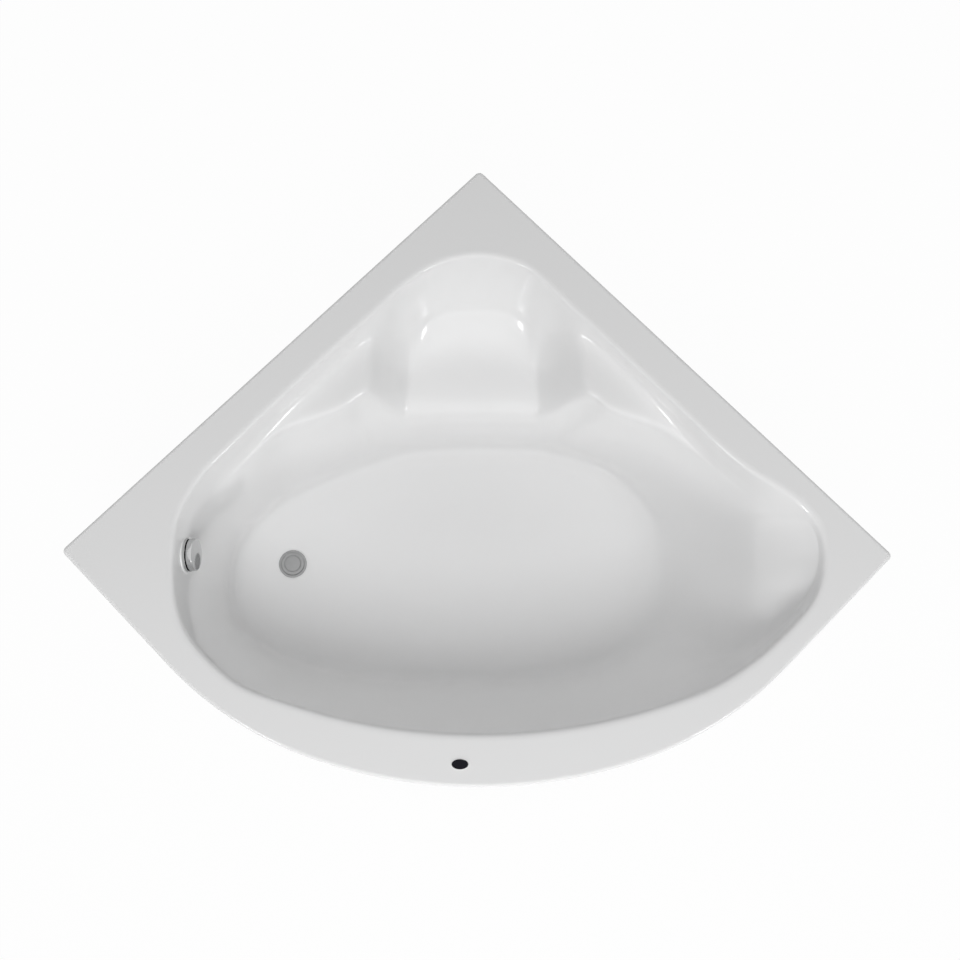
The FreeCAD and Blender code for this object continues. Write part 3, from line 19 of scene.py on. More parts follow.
import bmesh
import bpy
import numpy as np
from mathutils import Matrix, Vector

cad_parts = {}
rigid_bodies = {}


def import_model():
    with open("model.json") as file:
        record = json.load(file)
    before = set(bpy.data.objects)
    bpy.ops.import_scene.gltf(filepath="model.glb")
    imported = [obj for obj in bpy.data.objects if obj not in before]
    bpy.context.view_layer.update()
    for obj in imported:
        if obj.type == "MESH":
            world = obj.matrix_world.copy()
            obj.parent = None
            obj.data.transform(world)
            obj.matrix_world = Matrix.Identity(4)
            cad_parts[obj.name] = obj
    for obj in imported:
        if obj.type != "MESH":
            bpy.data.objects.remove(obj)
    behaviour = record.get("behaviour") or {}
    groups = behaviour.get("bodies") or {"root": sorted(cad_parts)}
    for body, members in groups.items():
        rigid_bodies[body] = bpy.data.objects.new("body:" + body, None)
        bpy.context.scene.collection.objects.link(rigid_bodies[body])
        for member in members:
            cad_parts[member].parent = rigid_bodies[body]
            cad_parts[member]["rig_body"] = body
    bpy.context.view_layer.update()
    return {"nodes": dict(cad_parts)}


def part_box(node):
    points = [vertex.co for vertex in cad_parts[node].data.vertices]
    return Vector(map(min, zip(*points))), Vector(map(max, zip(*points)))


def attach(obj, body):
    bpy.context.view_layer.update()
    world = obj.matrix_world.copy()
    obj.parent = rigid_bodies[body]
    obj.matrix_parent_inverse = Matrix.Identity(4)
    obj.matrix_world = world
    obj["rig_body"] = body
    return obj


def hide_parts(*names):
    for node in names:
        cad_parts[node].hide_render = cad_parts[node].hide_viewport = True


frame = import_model()

MM = 0.001
ROOT2 = math.sqrt(2)
WELD = 1e-6             # points nearer than this, in metres, become one
FLAT_DEGREES = 0.5      # faces of a solid that turn by less than this become one
MOST_CORNERS = 12       # faces with more corners than this are cut into triangles
log = logging.getLogger("bathtub")

Colour = tuple[float, float, float]
Ring = np.ndarray


# ---------------------------------------------------------------- meshes

def ring_faces(first: int, second: int, count: int) -> list[tuple[int, ...]]:
    """Quads between two closed rings of vertices.

    Args:
        first: index of the first ring's first vertex.
        second: index of the second ring's first vertex.
        count: vertices in each ring.

    Returns:
        One quad for each pair of neighbours.
    """
    return [(first + i, first + (i + 1) % count, second + (i + 1) % count, second + i)
            for i in range(count)]


def loft(rings: Sequence[Ring], cap_first: bool = False, cap_last: bool = False
         ) -> tuple[np.ndarray, list[tuple[int, ...]]]:
    """Join closed rings of equal length into a skin.

    Args:
        rings: arrays of points, one after another along the skin.
        cap_first: close the first ring with one face.
        cap_last: close the last ring with one face.

    Returns:
        The vertices and the faces.
    """
    count = len(rings[0])
    faces: list[tuple[int, ...]] = []
    for number in range(len(rings) - 1):
        faces += ring_faces(number * count, (number + 1) * count, count)
    if cap_first:
        faces.append(tuple(reversed(range(count))))
    if cap_last:
        start = (len(rings) - 1) * count
        faces.append(tuple(range(start, start + count)))
    return np.concatenate(rings), faces


def linked(name: str, data: bpy.types.ID, materials: Sequence[bpy.types.Material] = ()
           ) -> bpy.types.Object:
    """Put a mesh, a lamp or a camera into the scene as an object.

    Args:
        name: the object's name.
        data: what the object shows.
        materials: materials for a mesh's slots.

    Returns:
        The object, at the origin.
    """
    for material in materials:
        data.materials.append(material)
    made = bpy.data.objects.new(name, data)
    bpy.context.scene.collection.objects.link(made)
    return made


def mesh_object(name: str, vertices: Iterable, faces: Iterable,
                materials: Sequence[bpy.types.Material] = ()) -> bpy.types.Object:
    """Make an object at the origin from vertices and faces.

    Args:
        name: the piece's name.
        vertices: points in the row frame.
        faces: vertex numbers of each face.
        materials: materials for the object's slots.

    Returns:
        The new object.
    """
    mesh = bpy.data.meshes.new(name)
    mesh.from_pydata([tuple(point) for point in vertices], [], [tuple(face) for face in faces])
    return linked(name, mesh, materials)


def finish_mesh(made: bpy.types.Object, sharp_degrees: float = 35.0, outward: bool = True
                ) -> bpy.types.Object:
    """Weld a mesh, turn its faces outward, and shade it smooth between its sharp edges.

    Args:
        made: the object to finish.
        sharp_degrees: edges that turn by more than this stay sharp.
        outward: recalculate the faces' directions.

    Returns:
        The same object.
    """
    work = bmesh.new()
    work.from_mesh(made.data)
    bmesh.ops.remove_doubles(work, verts=work.verts, dist=WELD)
    if outward:
        bmesh.ops.recalc_face_normals(work, faces=work.faces)
    for face in work.faces:
        face.smooth = True
    work.to_mesh(made.data)
    work.free()
    made.data.set_sharp_from_angle(angle=math.radians(sharp_degrees))
    return made


def lathe(name: str, profile: Sequence[tuple[float, float]], place: Matrix,
          materials: Sequence[bpy.types.Material], steps: int = 96,
          closed: bool = False) -> bpy.types.Object:
    """Turn a profile about an axis.

    Args:
        name: the piece's name.
        profile: radius and height of each point, in millimetres.
        place: puts the axis, local Z, in the row frame.
        materials: materials for the object's slots.
        steps: points round the axis.
        closed: join the last point to the first, for a ring.

    Returns:
        The finished piece.
    """
    turns = np.linspace(0, 2 * math.pi, steps, endpoint=False)
    rings = []
    for radius, height in list(profile) + (list(profile[:1]) if closed else []):
        rings.append(np.stack([radius * MM * np.cos(turns), radius * MM * np.sin(turns),
                               np.full(steps, height * MM)], axis=1))
    vertices, faces = loft(rings)
    placed = [place @ Vector(point) for point in vertices]
    return finish_mesh(mesh_object(name, placed, faces, materials))


def arc_profile(centre: tuple[float, float], radius: float, start: float, end: float,
                steps: int = 6) -> list[tuple[float, float]]:
    """Points of a round corner of a profile.

    Args:
        centre: radius and height of the arc's centre.
        radius: the arc's radius.
        start: first direction in degrees, 0 outward and 90 up.
        end: last direction in degrees.
        steps: pieces that the arc is divided into.

    Returns:
        The arc's points in order.
    """
    angles = [math.radians(start + (end - start) * i / steps) for i in range(steps + 1)]
    return [(centre[0] + radius * math.cos(a), centre[1] + radius * math.sin(a)) for a in angles]


def joined(name: str, parts: Sequence[bpy.types.Object]) -> bpy.types.Object:
    """Merge several objects into one mesh.

    Args:
        name: the merged piece's name.
        parts: objects to merge; they are removed.

    Returns:
        The merged object.
    """
    work = bmesh.new()
    materials: list[bpy.types.Material] = []
    for part in parts:
        for face in part.data.polygons:
            material = part.data.materials[face.material_index]
            if material not in materials:
                materials.append(material)
            face.material_index = materials.index(material)
        work.from_mesh(part.data)
    mesh = bpy.data.meshes.new(name)
    work.to_mesh(mesh)
    work.free()
    for part in parts:
        bpy.data.objects.remove(part)
    return linked(name, mesh, materials)


def dressed_copy(node: str, name: str, materials: Sequence[bpy.types.Material],
                 bevel: float, sharp_degrees: float = 30.0) -> bpy.types.Object:
    """Copy a solid's mesh with welded corners, small rounded edges and smooth shading.

    Args:
        node: the solid's node.
        name: the new piece's name.
        materials: materials for the piece.
        bevel: width of the rounded edges in millimetres; 0 leaves them sharp.
        sharp_degrees: edges that turn by more than this are rounded or stay sharp.

    Returns:
        The piece, which stands for the node.
    """
    work = bmesh.new()
    work.from_mesh(frame["nodes"][node].data)
    bmesh.ops.remove_doubles(work, verts=work.verts, dist=WELD)
    bmesh.ops.dissolve_limit(work, angle_limit=math.radians(FLAT_DEGREES), verts=work.verts,
                             edges=work.edges)
    large = [face for face in work.faces if len(face.verts) > MOST_CORNERS]
    bmesh.ops.triangulate(work, faces=large)
    for face in work.faces:
        face.smooth = True
        face.material_index = 0
    mesh = bpy.data.meshes.new(name)
    work.to_mesh(mesh)
    work.free()
    made = linked(name, mesh, materials)
    mesh.set_sharp_from_angle(angle=math.radians(sharp_degrees))
    if bevel:
        edge = made.modifiers.new("rounded_edges", "BEVEL")
        edge.width = bevel * MM
        edge.segments = 2
        edge.limit_method = "ANGLE"
        edge.angle_limit = math.radians(sharp_degrees)
        edge.harden_normals = True
        edge.use_clamp_overlap = True
    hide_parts(node)
    return made


# ---------------------------------------------------------------- places

@dataclass(frozen=True)
class Placement:
    """A place in the row frame: an origin in metres and the directions of local X and Z."""

    at: tuple[float, float, float]
    x: tuple[float, float, float] = (1.0, 0.0, 0.0)
    z: tuple[float, float, float] = (0.0, 0.0, 1.0)

    @property
    def origin(self) -> Vector:
        """The origin as a vector."""
        return Vector(self.at)

    @property
    def matrix(self) -> Matrix:
        """Puts local coordinates in the row frame.

        Returns:
            The matrix.
        """
        up = Vector(self.z).normalized()
        side = up.cross(Vector(self.x)).normalized()
        turn = Matrix((side.cross(up), side, up)).transposed()
        return Matrix.Translation(self.origin) @ turn.to_4x4()


# the knob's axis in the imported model, which leans with the basin's wall
OVERFLOW = Placement((-0.683395, -0.204605, 0.51), (0.149465, 0.0, -0.988767),
                     (0.988767, 0.0, 0.149465))


def settle(made: bpy.types.Object, body: str, slot: str, *nodes: str) -> bpy.types.Object:
    """Bind a piece to its body and let it stand for its solids; its slot only goes into the log.

    Args:
        made: the piece, in place at rest.
        body: the body it rides.
        slot: the record's material slot, which only goes into the log.
        nodes: solids that it stands for.

    Returns:
        The piece.
    """
    if nodes:
        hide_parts(*nodes)
    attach(made, body)
    log.info("%s: %d faces, rides %s, slot %s", made.name, len(made.data.polygons), body, slot)
    return made


# ---------------------------------------------------------------- finishes

class Sheen(Enum):
    """How a surface answers light: roughness at its smoothest and at its dullest."""

    MIRROR = (0.05, 0.12)
    GLOSS = (0.10, 0.18)
    SATIN = (0.28, 0.42)
    MATT = (0.55, 0.75)


def new_group(name: str, kind: str, inputs: Sequence[tuple[str, str, float | None]],
              outputs: Sequence[tuple[str, str]]) -> bpy.types.NodeTree:
    """Start a shader or geometry group with its named sockets.

    Args:
        name: the group's name.
        kind: ShaderNodeTree or GeometryNodeTree.
        inputs: name, kind and, where it has one, value of each input.
        outputs: name and kind of each output.

    Returns:
        The group, without nodes.
    """
    tree = bpy.data.node_groups.new(name, kind)
    for socket, holds, value in inputs:
        made = tree.interface.new_socket(socket, in_out="INPUT", socket_type="NodeSocket" + holds)
        if value is not None:
            made.default_value = value
    for socket, holds in outputs:
        tree.interface.new_socket(socket, in_out="OUTPUT", socket_type="NodeSocket" + holds)
    return tree


def preset(node: bpy.types.Node, values: dict[str, object]) -> None:
    """Set inputs of a node that nothing is linked to, by name."""
    for name, value in values.items():
        node.inputs[name].default_value = value


def connect(tree: bpy.types.NodeTree,
            *links: tuple[bpy.types.Node, str | int, bpy.types.Node, str | int]) -> None:
    """Link nodes of a tree.

    Args:
        tree: the tree.
        links: a node and its output, and the node and its input that the output goes to.
    """
    for source, leaving, target, entering in links:
        tree.links.new(source.outputs[leaving], target.inputs[entering])


def cloudiness_group() -> bpy.types.NodeTree:
    """A group that mixes two colours in soft patches and gives the patches as a mask.

    Returns:
        The shader group, built once.
    """
    name = "cloudy_patches"
    if name in bpy.data.node_groups:
        return bpy.data.node_groups[name]
    tree = new_group(name, "ShaderNodeTree",
                     (("Vector", "Vector", None), ("Light", "Color", None), ("Dark", "Color", None),
                      ("Scale", "Float", 10.0), ("Patchiness", "Float", 0.5)),
                     (("Colour", "Color"), ("Mask", "Float")))
    enter, leave = tree.nodes.new("NodeGroupInput"), tree.nodes.new("NodeGroupOutput")
    noise = tree.nodes.new("ShaderNodeTexNoise")
    noise.inputs["Detail"].default_value = 4.0
    fade = tree.nodes.new("ShaderNodeMath")
    fade.operation = "MULTIPLY"
    mix = tree.nodes.new("ShaderNodeMix")
    mix.data_type = "RGBA"
    connect(tree, (enter, "Vector", noise, "Vector"), (enter, "Scale", noise, "Scale"),
            (noise, "Fac", fade, 0), (enter, "Patchiness", fade, 1), (fade, 0, mix, "Factor"),
            (enter, "Light", mix, "A"), (enter, "Dark", mix, "B"),
            (mix, "Result", leave, "Colour"), (noise, "Fac", leave, "Mask"))
    return tree


def relief_group() -> bpy.types.NodeTree:
    """A group that gives the height of a fine skin: broad waves with a finer grain on them.

    Returns:
        The shader group, built once.
    """
    name = "skin_relief"
    if name in bpy.data.node_groups:
        return bpy.data.node_groups[name]
    tree = new_group(name, "ShaderNodeTree",
                     (("Vector", "Vector", None), ("Broad", "Float", 20.0),
                      ("Fine", "Float", 300.0), ("Grain", "Float", 0.3)),
                     (("Height", "Float"),))
    enter, leave = tree.nodes.new("NodeGroupInput"), tree.nodes.new("NodeGroupOutput")
    grain = tree.nodes.new("ShaderNodeMath")
    grain.operation = "MULTIPLY_ADD"
    for scale, target in (("Broad", 2), ("Fine", 0)):
        noise = tree.nodes.new("ShaderNodeTexNoise")
        noise.inputs["Detail"].default_value = 2.0
        connect(tree, (enter, "Vector", noise, "Vector"), (enter, scale, noise, "Scale"),
                (noise, "Fac", grain, target))
    connect(tree, (enter, "Grain", grain, 1), (grain, 0, leave, "Height"))
    return tree


@dataclass(frozen=True)
class Finish:
    """One surface finish, from which its material is made.

    The colour passes to a second one in soft patches, and the sheen passes from its smooth to its
    dull end with them.  The relief is broad waves with a finer grain on them, both given as scales
    of noise, and its depth is in metres.
    """

    name: str
    colour: Colour
    dark: Colour
    sheen: Sheen
    metallic: float = 0.0
    patch_scale: float = 12.0
    patchiness: float = 0.5
    broad: float = 30.0
    fine: float = 400.0
    grain: float = 0.3
    bump: float = 0.05
    bump_depth: float = 0.0005
    coat: float = 0.0
    coat_roughness: float = 0.05
    refraction: float = 1.5

    def material(self) -> bpy.types.Material:
        """The finish's material, built once.

        Returns:
            The material.
        """
        if self.name in bpy.data.materials:
            return bpy.data.materials[self.name]
        made = bpy.data.materials.new(self.name)
        made.use_nodes = True
        tree = made.node_tree
        shader = tree.nodes["Principled BSDF"]
        preset(shader, {"Metallic": self.metallic, "IOR": self.refraction,
                        "Coat Weight": self.coat, "Coat Roughness": self.coat_roughness})
        vector = self.vector(tree)
        patches = tree.nodes.new("ShaderNodeGroup")
        patches.node_tree = cloudiness_group()
        preset(patches, {"Light": (*self.colour, 1.0), "Dark": (*self.dark, 1.0),
                         "Scale": self.patch_scale, "Patchiness": self.patchiness})
        rough = tree.nodes.new("ShaderNodeMapRange")
        preset(rough, {"To Min": self.sheen.value[0], "To Max": self.sheen.value[1]})
        tree.links.new(vector, patches.inputs["Vector"])
        connect(tree, (patches, "Colour", shader, "Base Color"), (patches, "Mask", rough, "Value"),
                (rough, "Result", shader, "Roughness"))
        self.relief(tree, vector, shader)
        return made

    def vector(self, tree: bpy.types.NodeTree) -> bpy.types.NodeSocket:
        """The pattern's coordinates, which are the piece's own."""
        return tree.nodes.new("ShaderNodeTexCoord").outputs["Object"]

    def relief(self, tree: bpy.types.NodeTree, vector: bpy.types.NodeSocket,
               shader: bpy.types.Node) -> None:
        """Add the finish's fine relief.

        Args:
            tree: the material's tree.
            vector: the pattern's coordinates.
            shader: the shader that takes the relief.
        """
        skin = tree.nodes.new("ShaderNodeGroup")
        skin.node_tree = relief_group()
        preset(skin, {"Broad": self.broad, "Fine": self.fine, "Grain": self.grain})
        bump = tree.nodes.new("ShaderNodeBump")
        preset(bump, {"Strength": self.bump, "Distance": self.bump_depth})
        tree.links.new(vector, skin.inputs["Vector"])
        connect(tree, (skin, "Height", bump, "Height"), (bump, "Normal", shader, "Normal"))


@dataclass(frozen=True)
class WoodFinish(Finish):
    """Sawn wood: the finish with its pattern pulled out along one direction."""

    stretch: tuple[float, float, float] = (0.02, 1.0, 1.0)
    turn: tuple[float, float, float] = (1.0, 1.0, 1.0)

    def vector(self, tree: bpy.types.NodeTree) -> bpy.types.NodeSocket:
        """The piece's own coordinates, scaled along the grain and then turned in the noise.

        Args:
            tree: the material's tree.

        Returns:
            The pattern's coordinates.
        """
        mapping = tree.nodes.new("ShaderNodeMapping")
        preset(mapping, {"Scale": self.stretch, "Rotation": self.turn})
        tree.links.new(super().vector(tree), mapping.inputs["Vector"])
        return mapping.outputs["Vector"]


ACRYLIC = Finish("white_acrylic", (0.94, 0.941, 0.942), (0.93, 0.931, 0.932), Sheen.GLOSS,
                 broad=7.0, fine=160.0, grain=0.08, bump=0.12, bump_depth=0.002, coat=0.6,
                 coat_roughness=0.04, refraction=1.49, patch_scale=3.0)
RESIN = Finish("glass_fibre_resin", (0.62, 0.62, 0.56), (0.42, 0.41, 0.34), Sheen.SATIN,
               patch_scale=45.0, patchiness=0.9, broad=60.0, fine=420.0, grain=0.9, bump=0.7,
               bump_depth=0.004)
PANEL = Finish("panel_acrylic", (0.8, 0.803, 0.806), (0.78, 0.783, 0.786), Sheen.GLOSS,
               broad=5.0, fine=120.0, grain=0.1, bump=0.15, bump_depth=0.002, coat=0.3,
               coat_roughness=0.05, patch_scale=2.0)
CHROME = Finish("polished_chrome", (0.6, 0.603, 0.606), (0.46, 0.463, 0.466), Sheen.MIRROR,
                metallic=1.0, patch_scale=60.0, broad=90.0, bump=0.02)
BRUSHED = Finish("brushed_chrome", (0.37, 0.372, 0.374), (0.31, 0.312, 0.314), Sheen.SATIN,
                 metallic=1.0, patch_scale=90.0, patchiness=0.8, broad=160.0, fine=900.0, bump=0.1)
ZINC = Finish("zinc_plated_steel", (0.56, 0.56, 0.53), (0.38, 0.38, 0.36), Sheen.SATIN,
              metallic=1.0, patch_scale=160.0, patchiness=0.9, broad=140.0, fine=900.0, bump=0.2,
              bump_depth=0.0004)
POWDER = Finish("grey_powder_coat", (0.33, 0.34, 0.35), (0.27, 0.28, 0.29), Sheen.SATIN,
                patch_scale=25.0, broad=350.0, fine=1200.0, grain=0.6, bump=0.35,
                bump_depth=0.0005)
BRASS = Finish("turned_brass", (0.62, 0.47, 0.2), (0.42, 0.3, 0.12), Sheen.SATIN, metallic=1.0,
               patch_scale=180.0, broad=300.0, bump=0.1)
RUBBER = Finish("black_rubber", (0.028, 0.028, 0.03), (0.05, 0.05, 0.052), Sheen.MATT,
                patch_scale=90.0, broad=300.0, fine=1500.0, bump=0.3, bump_depth=0.0004)
PIPE = Finish("white_pipe_plastic", (0.7, 0.7, 0.68), (0.62, 0.62, 0.59), Sheen.SATIN,
              patch_scale=30.0, broad=120.0, fine=900.0, bump=0.2, bump_depth=0.0004)
PLASTIC = Finish("black_moulded_plastic", (0.03, 0.03, 0.032), (0.045, 0.045, 0.047), Sheen.SATIN,
                 patch_scale=70.0, broad=260.0, fine=1400.0, grain=0.7, bump=0.3,
                 bump_depth=0.0004)
OVAL = Finish("dark_badge_enamel", (0.012, 0.012, 0.016), (0.018, 0.018, 0.024), Sheen.SATIN,
              patch_scale=80.0, broad=120.0, bump=0.1, bump_depth=0.0003, refraction=1.15)
BOARD = Finish("sealed_chipboard", (0.5, 0.36, 0.2), (0.28, 0.18, 0.09), Sheen.MATT,
               patch_scale=220.0, patchiness=1.0, broad=240.0, fine=800.0, grain=0.8, bump=0.5,
               bump_depth=0.001)
TIMBER = WoodFinish("planed_softwood", (0.62, 0.44, 0.24), (0.42, 0.26, 0.12), Sheen.MATT,
                    patch_scale=130.0, patchiness=0.95, broad=150.0, fine=700.0, bump=0.4,
                    bump_depth=0.0008)


# ---------------------------------------------------------------- acrylic shell

ACRYLIC_FACE, RESIN_FACE = 0, 1     # material slots of the shell


class Ledge(Enum):
    """Level parts of the basin: the shell's field with the depth, and how soft two edges are."""

    SEAT = ("seat_depth", 60.0, 36.0)
    ARM = ("arm_depth", 12.0, 14.0)
    RIGHT_ARM = ("right_arm_depth", 14.0, 12.0)
    SHOULDER = ("shoulder_depth", 24.0, 26.0)

    def __init__(self, depth_field: str, step_softness: float, rim_softness: float) -> None:
        """Name the parts of the value.

        Args:
            depth_field: the field of the shell that holds the ledge's depth.
            step_softness: how gently the wall above runs into the ledge.
            rim_softness: how gently the ledge turns down at its front edge.
        """
        self.depth_field = depth_field
        self.edges = (step_softness, rim_softness)


class Side(Enum):
    """Where a point of the basin's edge is measured from; a wall's value is its sign of X."""

    LEFT = -1
    RIGHT = 1
    BACK = 2
    FRONT = 3
    FREE = 4


@dataclass(frozen=True)
class Station:
    """One place round the basin: its edge, step foot, ledge edge and wall foot, in plan.

    The edge is an angle in degrees at the back and the front, a distance along a wall with an
    offset from its rim, or a free point.  Step and rim are points with how much lower than the
    ledge they lie.  A plain wall has no step, rim or ledge.
    """

    side: Side
    edge: tuple[float, ...]
    foot: tuple[float, float]
    softness: float
    step: tuple[float, float, float] | None = None
    rim: tuple[float, float, float] | None = None
    ledge: Ledge | None = None


def lowered(point: tuple) -> tuple[float, float, float]:
    """A plan point with how much lower than its ledge it lies, nought where it doesn't say."""
    return point if len(point) == 3 else (*point, 0.0)


def seat(side: Side, edge: tuple, step: tuple, rim: tuple, foot: tuple, softness: float,
         ledge: Ledge = Ledge.SEAT) -> Station:
    """A station with a ledge.

    Args:
        side: what the edge is measured from.
        edge: the edge's place.
        step: foot of the upper wall, with how much lower than the ledge it lies.
        rim: edge of the ledge, with how much lower than the ledge it lies.
        foot: foot of the lower wall.
        softness: how gently that foot runs into the floor.
        ledge: which ledge it is.

    Returns:
        The station.
    """
    return Station(side, edge, foot, softness, lowered(step), lowered(rim), ledge)


def plain(side: Side, edge: tuple, foot: tuple, softness: float) -> Station:
    """A station where the wall runs straight from the edge to the floor."""
    return Station(side, edge, foot, softness)


ARM, RIGHT_ARM, SHOULDER = Ledge.ARM, Ledge.RIGHT_ARM, Ledge.SHOULDER
STATIONS = (
    seat(Side.BACK, (0,), (-5, 628), (-5, 402), (-5, 372), 72),
    seat(Side.BACK, (-17,), (-78, 624), (-80, 401), (-85, 370), 72),
    seat(Side.BACK, (-33,), (-142, 604), (-142, 399), (-156, 364), 72),
    seat(Side.LEFT, (352, 0), (-178, 565), (-186, 397), (-216, 350), 72),
    seat(Side.LEFT, (415, 0), (-256, 533), (-268, 400), (-280, 328), 70, ARM),
    seat(Side.LEFT, (510, 0), (-300, 510), (-322, 362), (-340, 306), 66, ARM),
    seat(Side.LEFT, (640, 0), (-405, 405), (-396, 331, 4), (-415, 270), 62, ARM),
    seat(Side.LEFT, (770, 0), (-497, 313, 3), (-478, 300, 10), (-490, 232), 56, ARM),
    seat(Side.LEFT, (890, 4), (-566, 240, 10), (-550, 229, 28), (-556, 176), 56, ARM),
    plain(Side.LEFT, (1005, 10), (-604, 120), 56),
    plain(Side.FREE, (-688, 85), (-626, 66), 56),
    plain(Side.FREE, (-697, 10), (-632, 4), 56),
    plain(Side.FREE, (-696, -62), (-626, -54), 60),
    plain(Side.FREE, (-681, -138), (-600, -110), 66),
    plain(Side.FREE, (-640, -212), (-548, -156), 74),
    plain(Side.FRONT, (-23.5,), (-468, -194), 84),
    plain(Side.FRONT, (-18.5,), (-368, -218), 92),
    plain(Side.FRONT, (-12.5,), (-240, -234), 98),
    plain(Side.FRONT, (-6.5,), (-110, -240), 100),
    plain(Side.FRONT, (0,), (20, -238), 100),
    plain(Side.FRONT, (6.5,), (140, -230), 104),
    plain(Side.FRONT, (12.5,), (240, -212), 108),
    plain(Side.FRONT, (18,), (322, -182), 112),
    plain(Side.FRONT, (23.2,), (382, -138), 118),
    seat(Side.FREE, (634, -238), (618, -222, -50), (596, -205, 20), (425, -82), 122, SHOULDER),
    seat(Side.FREE, (714, -166), (696, -156, -40), (655, -150, 6), (447, -30), 124, SHOULDER),
    seat(Side.FREE, (770, -100), (750, -92, -44), (660, -78, 2), (455, 22), 124, SHOULDER),
    seat(Side.FREE, (796, -28), (780, -24, -86), (661, -5), (455, 80), 124, SHOULDER),
    seat(Side.FREE, (795, 48), (780, 45, -94), (659, 65), (447, 140), 122, SHOULDER),
    seat(Side.FREE, (765, 106), (748, 97, -92), (652, 108), (428, 198), 116, SHOULDER),
    seat(Side.RIGHT, (1058, -24), (680, 142, -76), (640, 140, -4), (398, 250), 104, SHOULDER),
    seat(Side.RIGHT, (985, -6), (622, 186, -42), (612, 178, -12), (356, 294), 90, SHOULDER),
    seat(Side.RIGHT, (890, 2), (546, 256, 30), (538, 248, 48), (308, 326), 76, RIGHT_ARM),
    seat(Side.RIGHT, (770, 0), (466, 340, 6), (443, 312, 16), (262, 345), 72, RIGHT_ARM),
    seat(Side.RIGHT, (640, 0), (376, 430), (362, 340, 4), (225, 356), 70, RIGHT_ARM),
    seat(Side.RIGHT, (515, 0), (290, 516), (316, 358), (196, 364), 70, RIGHT_ARM),
    seat(Side.RIGHT, (425, 0), (240, 540), (268, 396), (166, 369), 70, RIGHT_ARM),
    seat(Side.RIGHT, (352, 0), (148, 566), (158, 398), (122, 372), 70),
    seat(Side.BACK, (33,), (118, 604), (116, 400), (88, 373), 72),
    seat(Side.BACK, (17,), (68, 624), (66, 402), (48, 373), 72),
)


# Points of the edge, the step's foot, the ledge's edge and the wall's foot, and how soft the last
# three are: the wall's foot first, then the step's foot and the ledge's edge.
Row = tuple[list[np.ndarray], np.ndarray]


def blend(first: Sequence[float], second: Sequence[float], share: float) -> np.ndarray:
    """A point part of the way from one to another."""
    return np.asarray(first, float) * (1 - share) + np.asarray(second, float) * share


def toward(first: Sequence[float], second: Sequence[float], distance: float, most: float
           ) -> np.ndarray:
    """A point at a distance from one towards another, but at most a share of the way."""
    gap = float(np.linalg.norm(np.subtract(second, first)))
    return blend(first, second, min(distance / gap, most))


def through(points: Sequence[np.ndarray], share: float) -> np.ndarray:
    """A point on a smooth curve through four, between the middle two.

    Args:
        points: the four points.
        share: share of the way from the second to the third.

    Returns:
        The point.
    """
    a, b, c, d = (np.asarray(point, float) for point in points)
    return 0.5 * (2 * b + (c - a) * share + (2 * a - 5 * b + 4 * c - d) * share ** 2
                  + (3 * b - a - 3 * c + d) * share ** 3)


def arc_run(centre: Sequence[float], size: float, start: float, end: float, steps: int
            ) -> list[tuple[float, float]]:
    """Points of an arc in plan, without its last one.

    Args:
        centre: the arc's centre.
        size: its radius.
        start: first direction in radians.
        end: last direction in radians.
        steps: number of points.

    Returns:
        The points in order.
    """
    turns = np.linspace(start, end, steps, endpoint=False)
    return [(centre[0] + size * math.cos(t), centre[1] + size * math.sin(t)) for t in turns]


def straight_run(first: Sequence[float], last: Sequence[float], steps: int
                 ) -> list[tuple[float, float]]:
    """Points of a straight run in plan, without its last one."""
    return [tuple(blend(first, last, i / steps)) for i in range(steps)]


def clamped_weights(poles: int, places: np.ndarray) -> np.ndarray:
    """Cubic weights of each pole along a curve that ends on its first and last poles.

    Args:
        poles: number of poles.
        places: where the curve is wanted, from 0 to the number of poles less three.

    Returns:
        One row of weights for each place.
    """
    spans = poles - 3
    knots = np.concatenate([[0] * 3, np.arange(spans + 1), [spans] * 3]).astype(float)
    weights = np.zeros((len(places), poles + 3))
    for row, place in enumerate(places):
        weights[row, min(int(place), spans - 1) + 3] = 1
    for degree in (1, 2, 3):
        for i in range(poles + 3 - degree):
            rise, fall = knots[i + degree] - knots[i], knots[i + degree + 1] - knots[i + 1]
            grow = (places - knots[i]) / rise * weights[:, i] if rise else 0
            fade = (knots[i + degree + 1] - places) / fall * weights[:, i + 1] if fall else 0
            weights[:, i] = grow + fade
    return weights[:, :poles]


